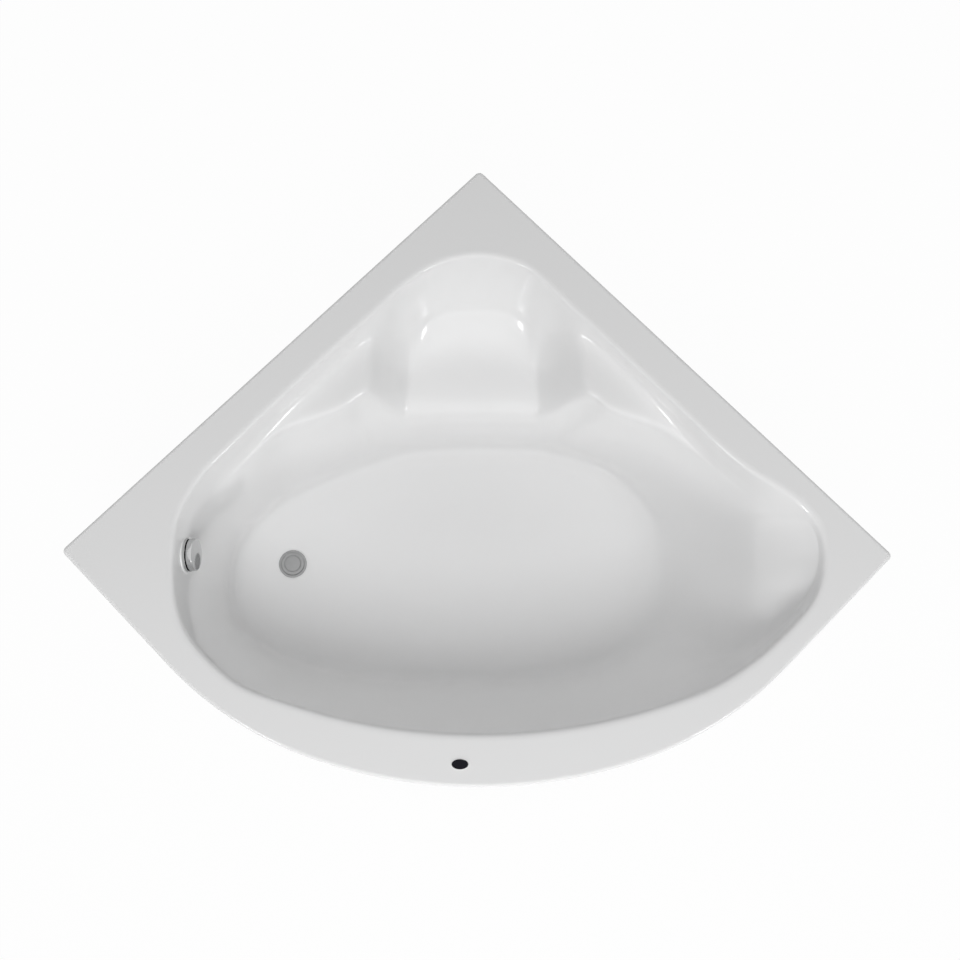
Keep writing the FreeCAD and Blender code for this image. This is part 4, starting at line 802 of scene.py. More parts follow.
@dataclass
class TubShell:
    """The moulded shell, with its sizes in millimetres."""

    wall_side: float = 1350.0
    deck_height: float = 600.0
    front_reach: float = 524.0
    cheek_length: float = 368.0
    corner_round: float = 13.0
    wall: float = 5.0
    lip_height: float = 30.0
    lip_round: float = 8.0
    rim_left: float = 86.0
    rim_right: float = 94.0
    rim_front: float = 113.0
    back_radius: float = 235.0
    edge_round: float = 13.0
    basin_depth: float = 430.0
    seat_depth: float = 228.0
    arm_depth: float = 66.0
    right_arm_depth: float = 56.0
    shoulder_depth: float = 120.0
    step_fillet: float = 12.0
    floor_centre: tuple[float, float] = (-95.0, 80.0)
    wall_shares: tuple[float, float] = (0.22, 0.30)
    drain_at: tuple[float, float] = (-479.0, 49.0)
    drain_bore: float = 26.0
    boss_radius: float = 44.0
    boss_hole: float = 25.5
    boss_proud: float = 2.5
    boss_back: float = 9.0
    boss_round: float = 1.2
    boss_cover: float = 12.0    # width of the skin that stays under the boss's edge
    lip_edge: float = 0.8       # small round of the lip's foot
    least_round: float = 0.25   # share of the corner's radius that a ring set in keeps
    near_pole: float = 0.35     # place of a round's nearer pole, as a share of its softness
    roll_end: float = 1.3       # end of the edge's roll, as a share of its radius
    between: int = 3            # columns of the net from one station to the next
    around: int = 4             # steps from one column to the next
    down: int = 4               # steps from one row of the net to the next
    front_steps: int = 40       # steps of half the outline along the front arc,
    side_steps: int = 30        # the side arc,
    cheek_steps: int = 24       # the straight cheek,
    corner_steps: int = 8       # the side corner,
    wall_steps: int = 60        # the wall
    crest_steps: int = 4        # and half the room's corner
    lip_steps: int = 8
    drain_steps: int = 48
    support: float = 1.0        # flat strip kept beside each flat face
    floor_strip: float = 0.05   # and beside the floor, as a share of a span of the net
    sharp_degrees: float = 50.0

    @property
    def reach(self) -> float:
        """The room's corner behind the corner line."""
        return self.wall_side / ROOT2

    @property
    def line_y(self) -> float:
        """The corner line in the row frame."""
        return (self.front_reach - self.reach + self.corner_round * (ROOT2 - 1)) / 2

    def place(self, points: np.ndarray) -> np.ndarray:
        """Plan places and depths in millimetres as points of the row frame in metres."""
        return (np.asarray(points, float) + (0, self.line_y, self.deck_height)) * MM

    def front_arcs(self) -> tuple[np.ndarray, float, np.ndarray, float]:
        """The two arcs from the straight cheek to the front's middle, each tangent to the next.

        Returns:
            Centre and radius of the side arc, and centre and radius of the front arc.
        """
        half = self.cheek_length / ROOT2
        start, finish = np.array([self.reach - half, -half]), np.array([0, -self.front_reach])
        along, level = np.array([-1, -1]) / ROOT2, np.array([-1.0, 0.0])
        span = finish - start
        a, b = 2 * (1 - along @ level), 2 * span @ (along + level)
        handle = (math.sqrt(b * b + 4 * a * (span @ span)) - b) / (2 * a)
        chord = (finish - level * handle) - (start + along * handle)
        turn = math.acos(along @ chord / np.linalg.norm(chord))
        side_radius = handle / math.tan(turn / 2)
        front_radius = handle / math.tan((math.pi / 4 - turn) / 2)
        side = start + np.array([-1, 1]) / ROOT2 * side_radius
        return side, side_radius, finish + (0, front_radius), front_radius

    def outline(self, inset: float, height: float) -> Ring:
        """The deck's outline set in by a distance, at a height above the deck.

        Args:
            inset: distance inward from the outer edge.
            height: height of the ring above the deck.

        Returns:
            The closed ring, anticlockwise from the front's middle.
        """
        side, side_radius, middle, front_radius = self.front_arcs()
        reach = self.reach - inset * ROOT2
        radius = max(self.corner_round - inset, self.corner_round * self.least_round)
        meet = math.atan2(*(side - middle)[::-1])
        eighth = math.pi / 4
        heart = (reach - radius * ROOT2, 0)
        back = (0, reach - radius * ROOT2)
        cheek = side + np.array([1, -1]) / ROOT2 * (side_radius - inset)
        leave = (heart[0] + radius / ROOT2, -radius / ROOT2)
        climb = (heart[0] + radius / ROOT2, radius / ROOT2)
        crest = (radius / ROOT2, back[1] + radius / ROOT2)
        half = [*arc_run(middle, front_radius - inset, -2 * eighth, meet, self.front_steps),
                *arc_run(side, side_radius - inset, meet, -eighth, self.side_steps),
                *straight_run(cheek, leave, self.cheek_steps),
                *arc_run(heart, radius, -eighth, eighth, self.corner_steps),
                *straight_run(climb, crest, self.wall_steps),
                *arc_run(back, radius, eighth, 2 * eighth, self.crest_steps),
                (0, back[1] + radius)]
        ring = half + [(-x, y) for x, y in reversed(half[1:-1])]
        return np.array([(x, y, height) for x, y in ring])

    def edge_point(self, station: Station) -> tuple[float, float]:
        """A station's point of the basin's edge in plan.

        Args:
            station: the station.

        Returns:
            The point.
        """
        side, edge = station.side, station.edge
        if side in (Side.LEFT, Side.RIGHT):
            inset = edge[1] + (self.rim_left if side is Side.LEFT else self.rim_right)
            return (side.value * (edge[0] - inset) / ROOT2, self.reach - (edge[0] + inset) / ROOT2)
        angle = math.radians(edge[0]) if side is not Side.FREE else 0.0
        if side is Side.BACK:
            rim = (self.rim_left + self.rim_right) / 2
            centre = self.reach - (rim + self.back_radius) * ROOT2
            return (self.back_radius * math.sin(angle), centre + self.back_radius * math.cos(angle))
        if side is Side.FRONT:
            radius = self.reach + self.front_reach - self.rim_front
            return (radius * math.sin(angle), self.reach - radius * math.cos(angle))
        return edge[0], edge[1]

    def rows(self) -> list[Row]:
        """The stations as points with depths.

        Returns:
            One row for each station, in order round the basin.
        """
        made = []
        for station in STATIONS:
            edge = np.array((*self.edge_point(station), 0.0))
            base = np.array((*station.foot, -self.basin_depth))
            if station.ledge is None:
                step, rim = (blend(edge, base, share) for share in self.wall_shares)
            else:
                level = -getattr(self, station.ledge.depth_field)
                step, rim = (np.array((x, y, level - more))
                             for x, y, more in (station.step, station.rim))
            edges = station.ledge.edges if station.ledge else (self.step_fillet,) * 2
            made.append(([edge, step, rim, base], np.array((station.softness, *edges))))
        return made

    def columns(self) -> list[Row]:
        """The rows with more between them, whose heights ease in and out.

        Returns:
            The rows in order round the basin.
        """
        rows = self.rows()
        made = []
        for number in range(len(rows)):
            near = [rows[(number + offset) % len(rows)] for offset in (-1, 0, 1, 2)]
            for step in range(self.between):
                share = step / self.between
                ease = share * share * (3 - 2 * share)
                points = []
                for part in range(len(near[0][0])):
                    four = [row[0][part] for row in near]
                    flat = through([point[:2] for point in four], share)
                    height = four[1][2] + (four[2][2] - four[1][2]) * ease
                    points.append(np.array((*flat, height)))
                made.append((points, near[1][1] + (near[2][1] - near[1][1]) * share))
        return made

    def net(self) -> np.ndarray:
        """Control net of the basin's surface.

        A round has its poles near its corner.  Each is held to a share of the way, so that poles
        keep their order where a wall is short.

        Returns:
            One column of poles after another, each from the deck down to the floor.
        """
        cols = self.columns()
        curl, near = self.edge_round, self.near_pole
        centre = (*self.floor_centre, -self.basin_depth)
        made = []
        for number, ((edge, step, rim, foot), (foot_soft, step_soft, rim_soft)) in enumerate(cols):
            before, after = cols[number - 1][0][0], cols[(number + 1) % len(cols)][0][0]
            run = math.hypot(after[0] - before[0], after[1] - before[1])
            out = np.array(((after[1] - before[1]) / run, (before[0] - after[0]) / run, 0.0))
            made.append([
                # the deck rolls over into the upper wall
                edge + out * curl, edge + out * curl * near,
                toward(edge, step, curl * near, 0.2), toward(edge, step, curl * self.roll_end, 0.4),
                # the upper wall runs out into the ledge
                blend(edge, step, 0.62), toward(step, edge, step_soft, 0.25),
                toward(step, rim, step_soft, 0.3), blend(step, rim, 0.5),
                # the ledge turns down into the lower wall
                toward(rim, step, rim_soft, 0.3), toward(rim, foot, rim_soft, 0.15),
                blend(rim, foot, 0.38),
                # the lower wall runs out into the floor
                toward(foot, rim, foot_soft, 0.5), toward(foot, rim, foot_soft * near, 0.2),
                toward(foot, centre, foot_soft * near, 0.2), toward(foot, centre, foot_soft, 0.5),
                blend(foot, centre, 0.55), blend(foot, centre, 0.66)])
        return np.array(made)

    def under(self, net: np.ndarray) -> np.ndarray:
        """The net moved out by the wall's thickness, flat where the net is flat.

        Args:
            net: the net of the basin's surface.

        Returns:
            The net of the shell's back.
        """
        round_way = np.roll(net, -1, axis=0) - np.roll(net, 1, axis=0)
        padded = np.concatenate([net[:, :1], net, net[:, -1:]], axis=1)
        normal = np.cross(padded[:, 2:] - padded[:, :-2], round_way)
        normal /= np.linalg.norm(normal, axis=2, keepdims=True)
        normal[:, 0] = normal[:, -2:] = (0, 0, 1)
        normal[normal[:, :, 2] < 0] *= -1
        return net - normal * self.wall

    def band(self, net: np.ndarray) -> list[Ring]:
        """Closed rings down a net's surface, from the deck to its flat floor.

        Args:
            net: the surface's control net.

        Returns:
            The rings, with a flat strip before the first and after the last.
        """
        columns = []
        for step in range(self.around):
            t = step / self.around
            shares = ((1 - t) ** 3 / 6, (3 * t ** 3 - 6 * t * t + 4) / 6,
                      (-3 * t ** 3 + 3 * t * t + 3 * t + 1) / 6, t ** 3 / 6)
            columns.append(sum(share * np.roll(net, 1 - number, axis=0)
                               for number, share in enumerate(shares)))
        poles = np.stack(columns, axis=1).reshape(-1, *net.shape[1:])
        flat_from = net.shape[1] - 4
        places = np.append(np.linspace(0, flat_from, flat_from * self.down + 1),
                           flat_from + self.floor_strip)
        surface = np.einsum("pr,crx->pcx", clamped_weights(net.shape[1], places), poles)
        first = surface[0]
        tangent = np.roll(first, -1, axis=0) - np.roll(first, 1, axis=0)
        out = np.stack([tangent[:, 1], -tangent[:, 0], 0 * tangent[:, 0]], axis=1)
        out /= np.linalg.norm(out, axis=1, keepdims=True)
        middle = first.mean(axis=0)
        out *= np.sign(((first - middle) * out).sum(axis=1).mean())
        return [first + out * self.support, *surface]

    def lip(self) -> list[Ring]:
        """The deck's outer edge, rolled over into the lip.

        Returns:
            Closed rings from the deck's flat to the lip's foot.
        """
        rings = [self.outline(self.lip_round + self.support, 0)]
        for step in range(self.lip_steps + 1):
            angle = math.pi / 2 * step / self.lip_steps
            rings.append(self.outline(self.lip_round * (1 - math.sin(angle)),
                                      self.lip_round * (math.cos(angle) - 1)))
        return rings + [self.outline(0, self.lip_edge - self.lip_height),
                        self.outline(self.lip_edge, -self.lip_height)]

    def lip_back(self) -> list[Ring]:
        """The back of the lip.

        Returns:
            Closed rings from the lip's foot up to the back of the deck.
        """
        return [self.outline(self.wall - self.lip_edge, -self.lip_height),
                self.outline(self.wall, self.lip_edge - self.lip_height),
                self.outline(self.wall, -self.wall),
                self.outline(self.wall + self.support, -self.wall)]

    def drain_mouth(self) -> list[Ring]:
        """The drain's hole through the floor.

        Returns:
            Its rim in the floor and its rim in the shell's back.
        """
        turns = np.linspace(0, 2 * math.pi, self.drain_steps, endpoint=False)
        return [np.stack([self.drain_at[0] + self.drain_bore * np.cos(turns),
                          self.drain_at[1] + self.drain_bore * np.sin(turns),
                          np.full(len(turns), -depth)], axis=1)
                for depth in (self.basin_depth, self.basin_depth + self.wall)]

    def skin(self) -> bpy.types.Object:
        """The shell's closed skin, without the overflow boss.

        Returns:
            The object: acrylic faces and, behind them, resin faces.
        """
        lip, back = self.lip(), self.lip_back()
        net = self.net()
        inner, outer = self.band(net), self.band(self.under(net))
        work = bmesh.new()
        self.add_loft(work, lip + back, [ACRYLIC_FACE] * len(lip) + [RESIN_FACE] * len(back))
        hole = self.near_overflow(inner)
        tops = self.add_loft(work, inner, [ACRYLIC_FACE] * len(inner), hole)
        lows = self.add_loft(work, outer, [RESIN_FACE] * len(outer), hole)
        self.close_hole(work, tops, lows, hole)
        self.add_loft(work, self.drain_mouth(), [ACRYLIC_FACE] * 2)
        bmesh.ops.remove_doubles(work, verts=work.verts, dist=WELD)
        for depth in (0.0, self.basin_depth):
            self.fill(work, -depth, ACRYLIC_FACE)
            self.fill(work, -depth - self.wall, RESIN_FACE)
        bmesh.ops.recalc_face_normals(work, faces=work.faces)
        mesh = bpy.data.meshes.new("tub_skin")
        work.to_mesh(mesh)
        open_edges = sum(len(edge.link_faces) != 2 for edge in work.edges)
        work.free()
        log.info("tub_shell: %d faces, %d open edges", len(mesh.polygons), open_edges)
        made = linked("tub_skin", mesh, [ACRYLIC.material(), RESIN.material()])
        return finish_mesh(made, self.sharp_degrees, outward=False)

    def add_loft(self, work: bmesh.types.BMesh, rings: Sequence[Ring], slots: Sequence[int],
                 hole: set[tuple[int, int]] = frozenset()) -> list[list[bmesh.types.BMVert]]:
        """Add rings and the quads between them to a mesh.

        Args:
            work: the mesh.
            rings: closed rings in plan millimetres.
            slots: material slot of the quads before each ring.
            hole: quads to leave out, by ring and place in it.

        Returns:
            The rings' vertices.
        """
        grid = [[work.verts.new(point) for point in self.place(ring)] for ring in rings]
        for row in range(len(grid) - 1):
            first, second = grid[row], grid[row + 1]
            for i in range(len(first)):
                if (row, i) in hole:
                    continue
                j = (i + 1) % len(first)
                face = work.faces.new((first[i], first[j], second[j], second[i]))
                face.material_index = slots[row + 1]
        return grid

    def near_overflow(self, rings: Sequence[Ring]) -> set[tuple[int, int]]:
        """Quads of a band that lie behind the overflow boss, well inside its edge.

        Args:
            rings: the band's rings.

        Returns:
            Ring and place in it of each quad.
        """
        centre, limit = OVERFLOW.origin, (self.boss_radius - self.boss_cover) * MM
        behind = [[(Vector(point) - centre).length < limit for point in self.place(ring)]
                  for ring in rings]
        count = len(rings[0])
        return {(row, i) for row in range(len(rings) - 1) for i in range(count)
                if all(behind[r][c % count] for r in (row, row + 1) for c in (i, i + 1))}

    @staticmethod
    def close_hole(work: bmesh.types.BMesh, tops: list, lows: list,
                   hole: set[tuple[int, int]]) -> None:
        """Join the edges of the overflow opening in the inner and the outer skin.

        Args:
            work: the mesh.
            tops: vertices of the inner skin's rings.
            lows: vertices of the outer skin's rings.
            hole: the quads left out of both.
        """
        count = len(tops[0])
        for row, i in sorted(hole):
            h, j = (i - 1) % count, (i + 1) % count
            sides = (((row - 1, i), (row, i), (row, j)), ((row + 1, i), (row + 1, j), (row + 1, i)),
                     ((row, h), (row + 1, i), (row, i)), ((row, j), (row, j), (row + 1, j)))
            for neighbour, (r, c), (s, d) in sides:
                if neighbour not in hole:
                    work.faces.new((tops[r][c], tops[s][d], lows[s][d], lows[r][c]))

    def fill(self, work: bmesh.types.BMesh, level: float, slot: int) -> None:
        """Fill a flat face of the shell between its open edges.

        Args:
            work: the mesh.
            level: the face's height above the deck, in millimetres.
            slot: the face's material slot.
        """
        height = (self.deck_height + level) * MM
        edges = [edge for edge in work.edges if len(edge.link_faces) == 1
                 and all(abs(vert.co.z - height) < WELD for vert in edge.verts)]
        made = bmesh.ops.triangle_fill(work, use_beauty=True, edges=edges, normal=(0, 0, 1))
        for face in made["geom"]:
            if isinstance(face, bmesh.types.BMFace):
                face.material_index = slot

    def boss(self) -> bpy.types.Object:
        """The flat ring moulded round the overflow hole.

        Returns:
            The ring, in acrylic.
        """
        top, low, soft = self.boss_proud, -self.boss_back, self.boss_round
        outer = arc_profile((self.boss_radius - soft, top - soft), soft, 0, 90)
        inner = arc_profile((self.boss_hole + soft, top - soft), soft, 90, 180)
        profile = [(self.boss_radius, low), *outer, *inner, (self.boss_hole, low)]
        return lathe("overflow_boss", profile, OVERFLOW.matrix, [ACRYLIC.material()], closed=True)

    def build(self) -> bpy.types.Object:
        """Make the dressed shell in place of the solid one.

        Returns:
            The shell.
        """
        made = joined("acrylic_tub", [self.skin(), self.boss()])
        made.data.set_sharp_from_angle(angle=math.radians(self.sharp_degrees))
        return settle(made, "tub", "acrylic", "tub_shell")


# ---------------------------------------------------------------- repeated detail

def modifier_input(made: bpy.types.Object, tree: bpy.types.NodeTree, values: dict[str, object]
                   ) -> bpy.types.Modifier:
    """Add a geometry-nodes modifier with its inputs set by name.

    Args:
        made: the carrier.
        tree: the node group.
        values: value of each named input.

    Returns:
        The modifier.
    """
    modifier = made.modifiers.new(tree.name, "NODES")
    modifier.node_group = tree
    for item in tree.interface.items_tree:
        if item.item_type == "SOCKET" and item.in_out == "INPUT" and item.name in values:
            modifier[item.identifier] = values[item.name]
    return modifier


def grown(name: str, tree: bpy.types.NodeTree, values: dict[str, object], place: Matrix
          ) -> bpy.types.Object:
    """Run a node group once and keep its result as a plain mesh.

    Args:
        name: the result's name.
        tree: the node group.
        values: value of each named input.
        place: puts the result in the row frame.

    Returns:
        The plain object.
    """
    carrier = linked("carrier", bpy.data.meshes.new("carrier"))
    modifier = modifier_input(carrier, tree, values)
    bpy.context.view_layer.update()
    graph = bpy.context.evaluated_depsgraph_get()
    mesh = bpy.data.meshes.new_from_object(carrier.evaluated_get(graph), depsgraph=graph)
    carrier.modifiers.remove(modifier)
    bpy.data.objects.remove(carrier)
    mesh.name = name
    mesh.transform(place)
    return finish_mesh(linked(name, mesh, [] if mesh.materials else [values["Material"]]))


def end_group(tree: bpy.types.NodeTree, geometry: bpy.types.NodeSocket,
              material: bpy.types.NodeSocket) -> None:
    """Finish a geometry group with real geometry that carries its material.

    Args:
        tree: the group.
        geometry: what the group has made.
        material: the group's material input.
    """
    real = tree.nodes.new("GeometryNodeRealizeInstances")
    dress = tree.nodes.new("GeometryNodeSetMaterial")
    leave = tree.nodes.new("NodeGroupOutput")
    tree.links.new(geometry, real.inputs["Geometry"])
    tree.links.new(material, dress.inputs["Material"])
    connect(tree, (real, "Geometry", dress, "Geometry"), (dress, "Geometry", leave, "Geometry"))


def rib_ring_group() -> bpy.types.NodeTree:
    """Upright ribs standing round a circle, for pads and union nuts.

    Returns:
        The geometry group, built once.
    """
    name = "rib_ring"
    if name in bpy.data.node_groups:
        return bpy.data.node_groups[name]
    tree = new_group(name, "GeometryNodeTree",
                     (("Count", "Int", 24), ("Radius", "Float", 0.025), ("Height", "Float", 0.01),
                      ("Rib Radius", "Float", 0.001), ("Middle", "Float", 0.0),
                      ("Material", "Material", None)),
                     (("Geometry", "Geometry"),))
    enter = tree.nodes.new("NodeGroupInput")
    circle = tree.nodes.new("GeometryNodeMeshCircle")
    rib = tree.nodes.new("GeometryNodeMeshCylinder")
    rib.inputs["Vertices"].default_value = 10
    lift = tree.nodes.new("ShaderNodeCombineXYZ")
    raised = tree.nodes.new("GeometryNodeSetPosition")
    stand = tree.nodes.new("GeometryNodeInstanceOnPoints")
    connect(tree, (enter, "Count", circle, "Vertices"), (enter, "Radius", circle, "Radius"),
            (enter, "Rib Radius", rib, "Radius"), (enter, "Height", rib, "Depth"),
            (enter, "Middle", lift, "Z"), (circle, "Mesh", raised, "Geometry"),
            (lift, "Vector", raised, "Offset"), (raised, "Geometry", stand, "Points"),
            (rib, "Mesh", stand, "Instance"))
    end_group(tree, stand.outputs["Instances"], enter.outputs["Material"])
    return tree


def thread_group() -> bpy.types.NodeTree:
    """A thread's ridge wound up a stud as a spiral path.

    Returns:
        The geometry group, built once.
    """
    name = "thread_ridge"
    if name in bpy.data.node_groups:
        return bpy.data.node_groups[name]
    tree = new_group(name, "GeometryNodeTree",
                     (("Turns", "Float", 60.0), ("Radius", "Float", 0.0055),
                      ("Height", "Float", 0.1), ("Ridge", "Float", 0.0005), ("Base", "Float", 0.0),
                      ("Material", "Material", None)),
                     (("Geometry", "Geometry"),))
    enter = tree.nodes.new("NodeGroupInput")
    spiral = tree.nodes.new("GeometryNodeCurveSpiral")
    spiral.inputs["Resolution"].default_value = 14
    section = tree.nodes.new("GeometryNodeCurvePrimitiveCircle")
    section.inputs["Resolution"].default_value = 4
    lift = tree.nodes.new("ShaderNodeCombineXYZ")
    raised = tree.nodes.new("GeometryNodeSetPosition")
    sweep = tree.nodes.new("GeometryNodeCurveToMesh")
    sweep.inputs["Fill Caps"].default_value = True
    connect(tree, (enter, "Turns", spiral, "Rotations"), (enter, "Radius", spiral, "Start Radius"),
            (enter, "Radius", spiral, "End Radius"), (enter, "Height", spiral, "Height"),
            (enter, "Ridge", section, "Radius"), (enter, "Base", lift, "Z"),
            (spiral, "Curve", raised, "Geometry"), (lift, "Vector", raised, "Offset"),
            (raised, "Geometry", sweep, "Curve"), (section, "Curve", sweep, "Profile Curve"))
    end_group(tree, sweep.outputs["Mesh"], enter.outputs["Material"])
    return tree


@dataclass(frozen=True)
class Ribs:
    """Upright ribs round a piece, with sizes in millimetres."""

    count: int
    circle: float
    radius: float
    height: float
    middle: float = 0.0

    def stand(self, name: str, finish: Finish, place: Matrix) -> bpy.types.Object:
        """Make the ribs.

        Args:
            name: the result's name.
            finish: what they are made of.
            place: puts the ribs' axis, local Z, in the row frame.

        Returns:
            The ribs as a plain object.
        """
        return grown(name, rib_ring_group(), {
            "Count": self.count, "Radius": self.circle * MM, "Rib Radius": self.radius * MM,
            "Height": self.height * MM, "Middle": self.middle * MM,
            "Material": finish.material()}, place)


# ---------------------------------------------------------------- waste and overflow

@dataclass
class OverflowControl:
    """Knob and rosette on the wall: they cover the overflow and work the plug."""

    knob_radius: float = 38.0
    knob_front: float = 25.0
    knob_back: float = 10.0
    knob_wall: float = 3.0
    knob_round: float = 3.0
    dome: float = 1.0
    dome_falls: tuple[tuple[float, float], ...] = ((0, 0), (12, 0.1), (24, 0.45))   # by radius
    outer_bevel: float = 0.8
    inner_bevel: float = 0.5
    floor_bevel: float = 1.0
    bore_roof: float = 1.0      # how far the roof of the hub's bore lies under the dome's foot
    hub_radius: float = 9.0
    hub_wall: float = 3.9
    hub_sunk: float = 1.0       # how far the hub ends short of the cap's back
    grips: int = 40
    grip_radius: float = 0.7
    grip_height: float = 8.0
    grip_middle: float = 5.2    # from the cap's back to the grips' middle
    grip_sunk: float = 0.25     # how far the grips' axes lie under the cap's side

    def knob(self) -> bpy.types.Object:
        """The turning cap, with fine grips round its side.

        Returns:
            The knob.
        """
        front, low, side = self.knob_front, self.knob_back, self.knob_radius
        top, soft = front - self.dome, self.knob_round
        inner, floor = side - self.knob_wall, top - self.knob_wall
        hub, hub_end = self.hub_radius, low + self.hub_sunk
        bore = hub - self.hub_wall
        profile = [*((radius, front - fall) for radius, fall in self.dome_falls),
                   *arc_profile((side - soft, top - soft), soft, 90, 0, 8),
                   (side, low + self.outer_bevel), (side - self.outer_bevel, low),
                   (inner + self.inner_bevel, low), (inner, low + self.inner_bevel),
                   (inner, floor - self.floor_bevel), (inner - self.floor_bevel, floor),
                   (hub, floor), (hub, hub_end), (bore, hub_end), (bore, top - self.bore_roof),
                   (0, top - self.bore_roof)]
        cap = lathe("knob_cap", profile, OVERFLOW.matrix, [CHROME.material()], steps=128)
        ribs = Ribs(self.grips, side - self.grip_sunk, self.grip_radius, self.grip_height,
                    low + self.grip_middle)
        grips = ribs.stand("knob_grips", CHROME, OVERFLOW.matrix)
        return settle(joined("overflow_knob_dressed", [cap, grips]), "knob", "chrome",
                      "overflow_knob")

    def build(self) -> None:
        """Make the control's shown pieces."""
        self.knob()
        made = dressed_copy("overflow_rosette", "overflow_rosette_dressed", [CHROME.material()],
                            bevel=0.4)
        settle(made, "tub", "chrome")


@dataclass
class DrainTop:
    """Flange in the basin floor and the plug cap in it, with heights above the ground."""

    at: Placement = Placement((-0.479, -0.163605, 0.0))     # under the shell's drain hole
    cap_radius: float = 30.0
    cap_low: float = 173.0
    cap_top: float = 177.5
    cap_round: float = 1.6
    cap_bevel: float = 0.3
    edge_fall: float = 0.8      # fall of the dome at the cap's round
    dome_point: tuple[float, float] = (10.5, 0.12)      # radius and fall from the top
    groove_radius: float = 21.0
    # from the groove's middle, with the fall from the top
    groove_falls: tuple[tuple[float, float], ...] = ((-1.6, 0.35), (-0.7, 0.5), (0, 1.2),
                                                     (0.7, 0.6), (1.4, 0.4))

    def cap(self) -> bpy.types.Object:
        """The plug's cap: a low dome with a ring groove, flat below.

        Returns:
            The cap.
        """
        low, top, rim, ring = self.cap_low, self.cap_top, self.cap_radius, self.groove_radius
        soft, bevel = self.cap_round, self.cap_bevel
        profile = [(0, top), (self.dome_point[0], top - self.dome_point[1]),
                   *((ring + off, top - fall) for off, fall in self.groove_falls),
                   *arc_profile((rim - soft, top - self.edge_fall - soft), soft, 90, 0, 6),
                   (rim, low + bevel), (rim - bevel, low), (0, low)]
        made = lathe("plug_cap_dressed", profile, self.at.matrix, [BRUSHED.material()], steps=112)
        return settle(made, "plug", "chrome", "plug_cap")

    def build(self) -> None:
        """Make the cap and dress the flange."""
        self.cap()
        made = dressed_copy("drain_flange", "drain_flange_dressed", [BRUSHED.material()],
                            bevel=0.5)
        settle(made, "tub", "chrome")


# ---------------------------------------------------------------- feet

@dataclass(frozen=True)
class LevellingFoot:
    """One foot: a threaded stud in a ribbed pad."""

    name: str
    x: float
    y: float
    stud_radius: float = 6.0
    stud_low: float = 4.0
    stud_top: float = 128.0
    pitch: float = 1.75
    ridge: float = 0.6
    stud_bevel: tuple[float, float] = (1.0, 1.2)
    thread_start: float = 10.0  # above the stud's foot
    thread_short: float = 12.0  # how much shorter than the stud the thread is
    pad_radius: float = 25.0
    pad_height: float = 12.0
    pad_side: float = 6.0       # height of the pad's upright side
    pad_round: float = 2.5
    sole_rise: float = 0.6      # how far the sole rises to its middle
    sole_bevel: tuple[float, float] = (2.0, 1.4)
    collar_foot: tuple[float, float] = (13.0, 9.2)      # radius and height
    collar_radius: float = 12.0
    collar_round: float = 1.0
    bore_gap: float = 0.06
    bore_bevel: float = 0.6
    ribs: int = 30
    rib_radius: float = 0.9
    rib_height: float = 4.4
    rib_middle: float = 3.8
    rib_sunk: float = 0.3       # how far the ribs' axes lie under the pad's side
    ribs_proud: float = 0.6     # how far the ribs stand out to the pad's radius

    @property
    def place(self) -> Matrix:
        """Puts the foot's axis in the row frame."""
        return Matrix.Translation((self.x * MM, self.y * MM, 0))

    def stud(self) -> bpy.types.Object:
        """The threaded stud.

        Returns:
            The stud.
        """
        core = self.stud_radius - self.ridge
        top, low = self.stud_top, self.stud_low
        length = top - low - self.thread_short
        across, down = self.stud_bevel
        profile = [(0, top), (core - across, top), (core, top - down), (core, low), (0, low)]
        rod = lathe("stud_core", profile, self.place, [ZINC.material()], steps=32)
        thread = grown("stud_thread", thread_group(), {
            "Turns": length / self.pitch, "Radius": core * MM, "Height": length * MM,
            "Ridge": self.ridge * MM, "Base": (low + self.thread_start) * MM,
            "Material": ZINC.material()}, self.place)
        made = joined(self.name + "_stud_dressed", [rod, thread])
        return settle(made, self.name, "zinc_steel", self.name + "_stud")

    def pad(self) -> bpy.types.Object:
        """The moulded pad with grip ribs round its side.

        Returns:
            The pad.
        """
        side, top = self.pad_radius - self.ribs_proud, self.pad_height
        bore, sole = self.stud_radius + self.bore_gap, self.stud_low
        soft, small, bevel = self.pad_round, self.collar_round, self.bore_bevel
        across, up = self.sole_bevel
        profile = [(0, sole), (0, self.sole_rise), (side - across, 0), (side, up),
                   (side, self.pad_side),
                   *arc_profile((side - soft, self.pad_side), soft, 0, 80, 5), self.collar_foot,
                   *arc_profile((self.collar_radius - small, top - small), small, 0, 90, 4),
                   (bore + bevel, top), (bore, top - bevel), (bore, sole)]
        body = lathe("pad_body", profile, self.place, [PLASTIC.material()], steps=72, closed=True)
        ribs = Ribs(self.ribs, side - self.rib_sunk, self.rib_radius, self.rib_height,
                    self.rib_middle)
        made = joined(self.name + "_pad_dressed",
                      [body, ribs.stand("pad_ribs", PLASTIC, self.place)])
        return settle(made, self.name, "black_plastic", self.name + "_pad")

    def build(self) -> None:
        """Make the foot."""
        self.stud()
        self.pad()


# in plan from the middle of the line between the tub's side corners, in millimetres
FOOT_PLACES = {"left": (-780, -45), "right": (800, -45), "back": (0, 800), "front": (0, -415),
               "middle": (0, -45)}


# ---------------------------------------------------------------- badge

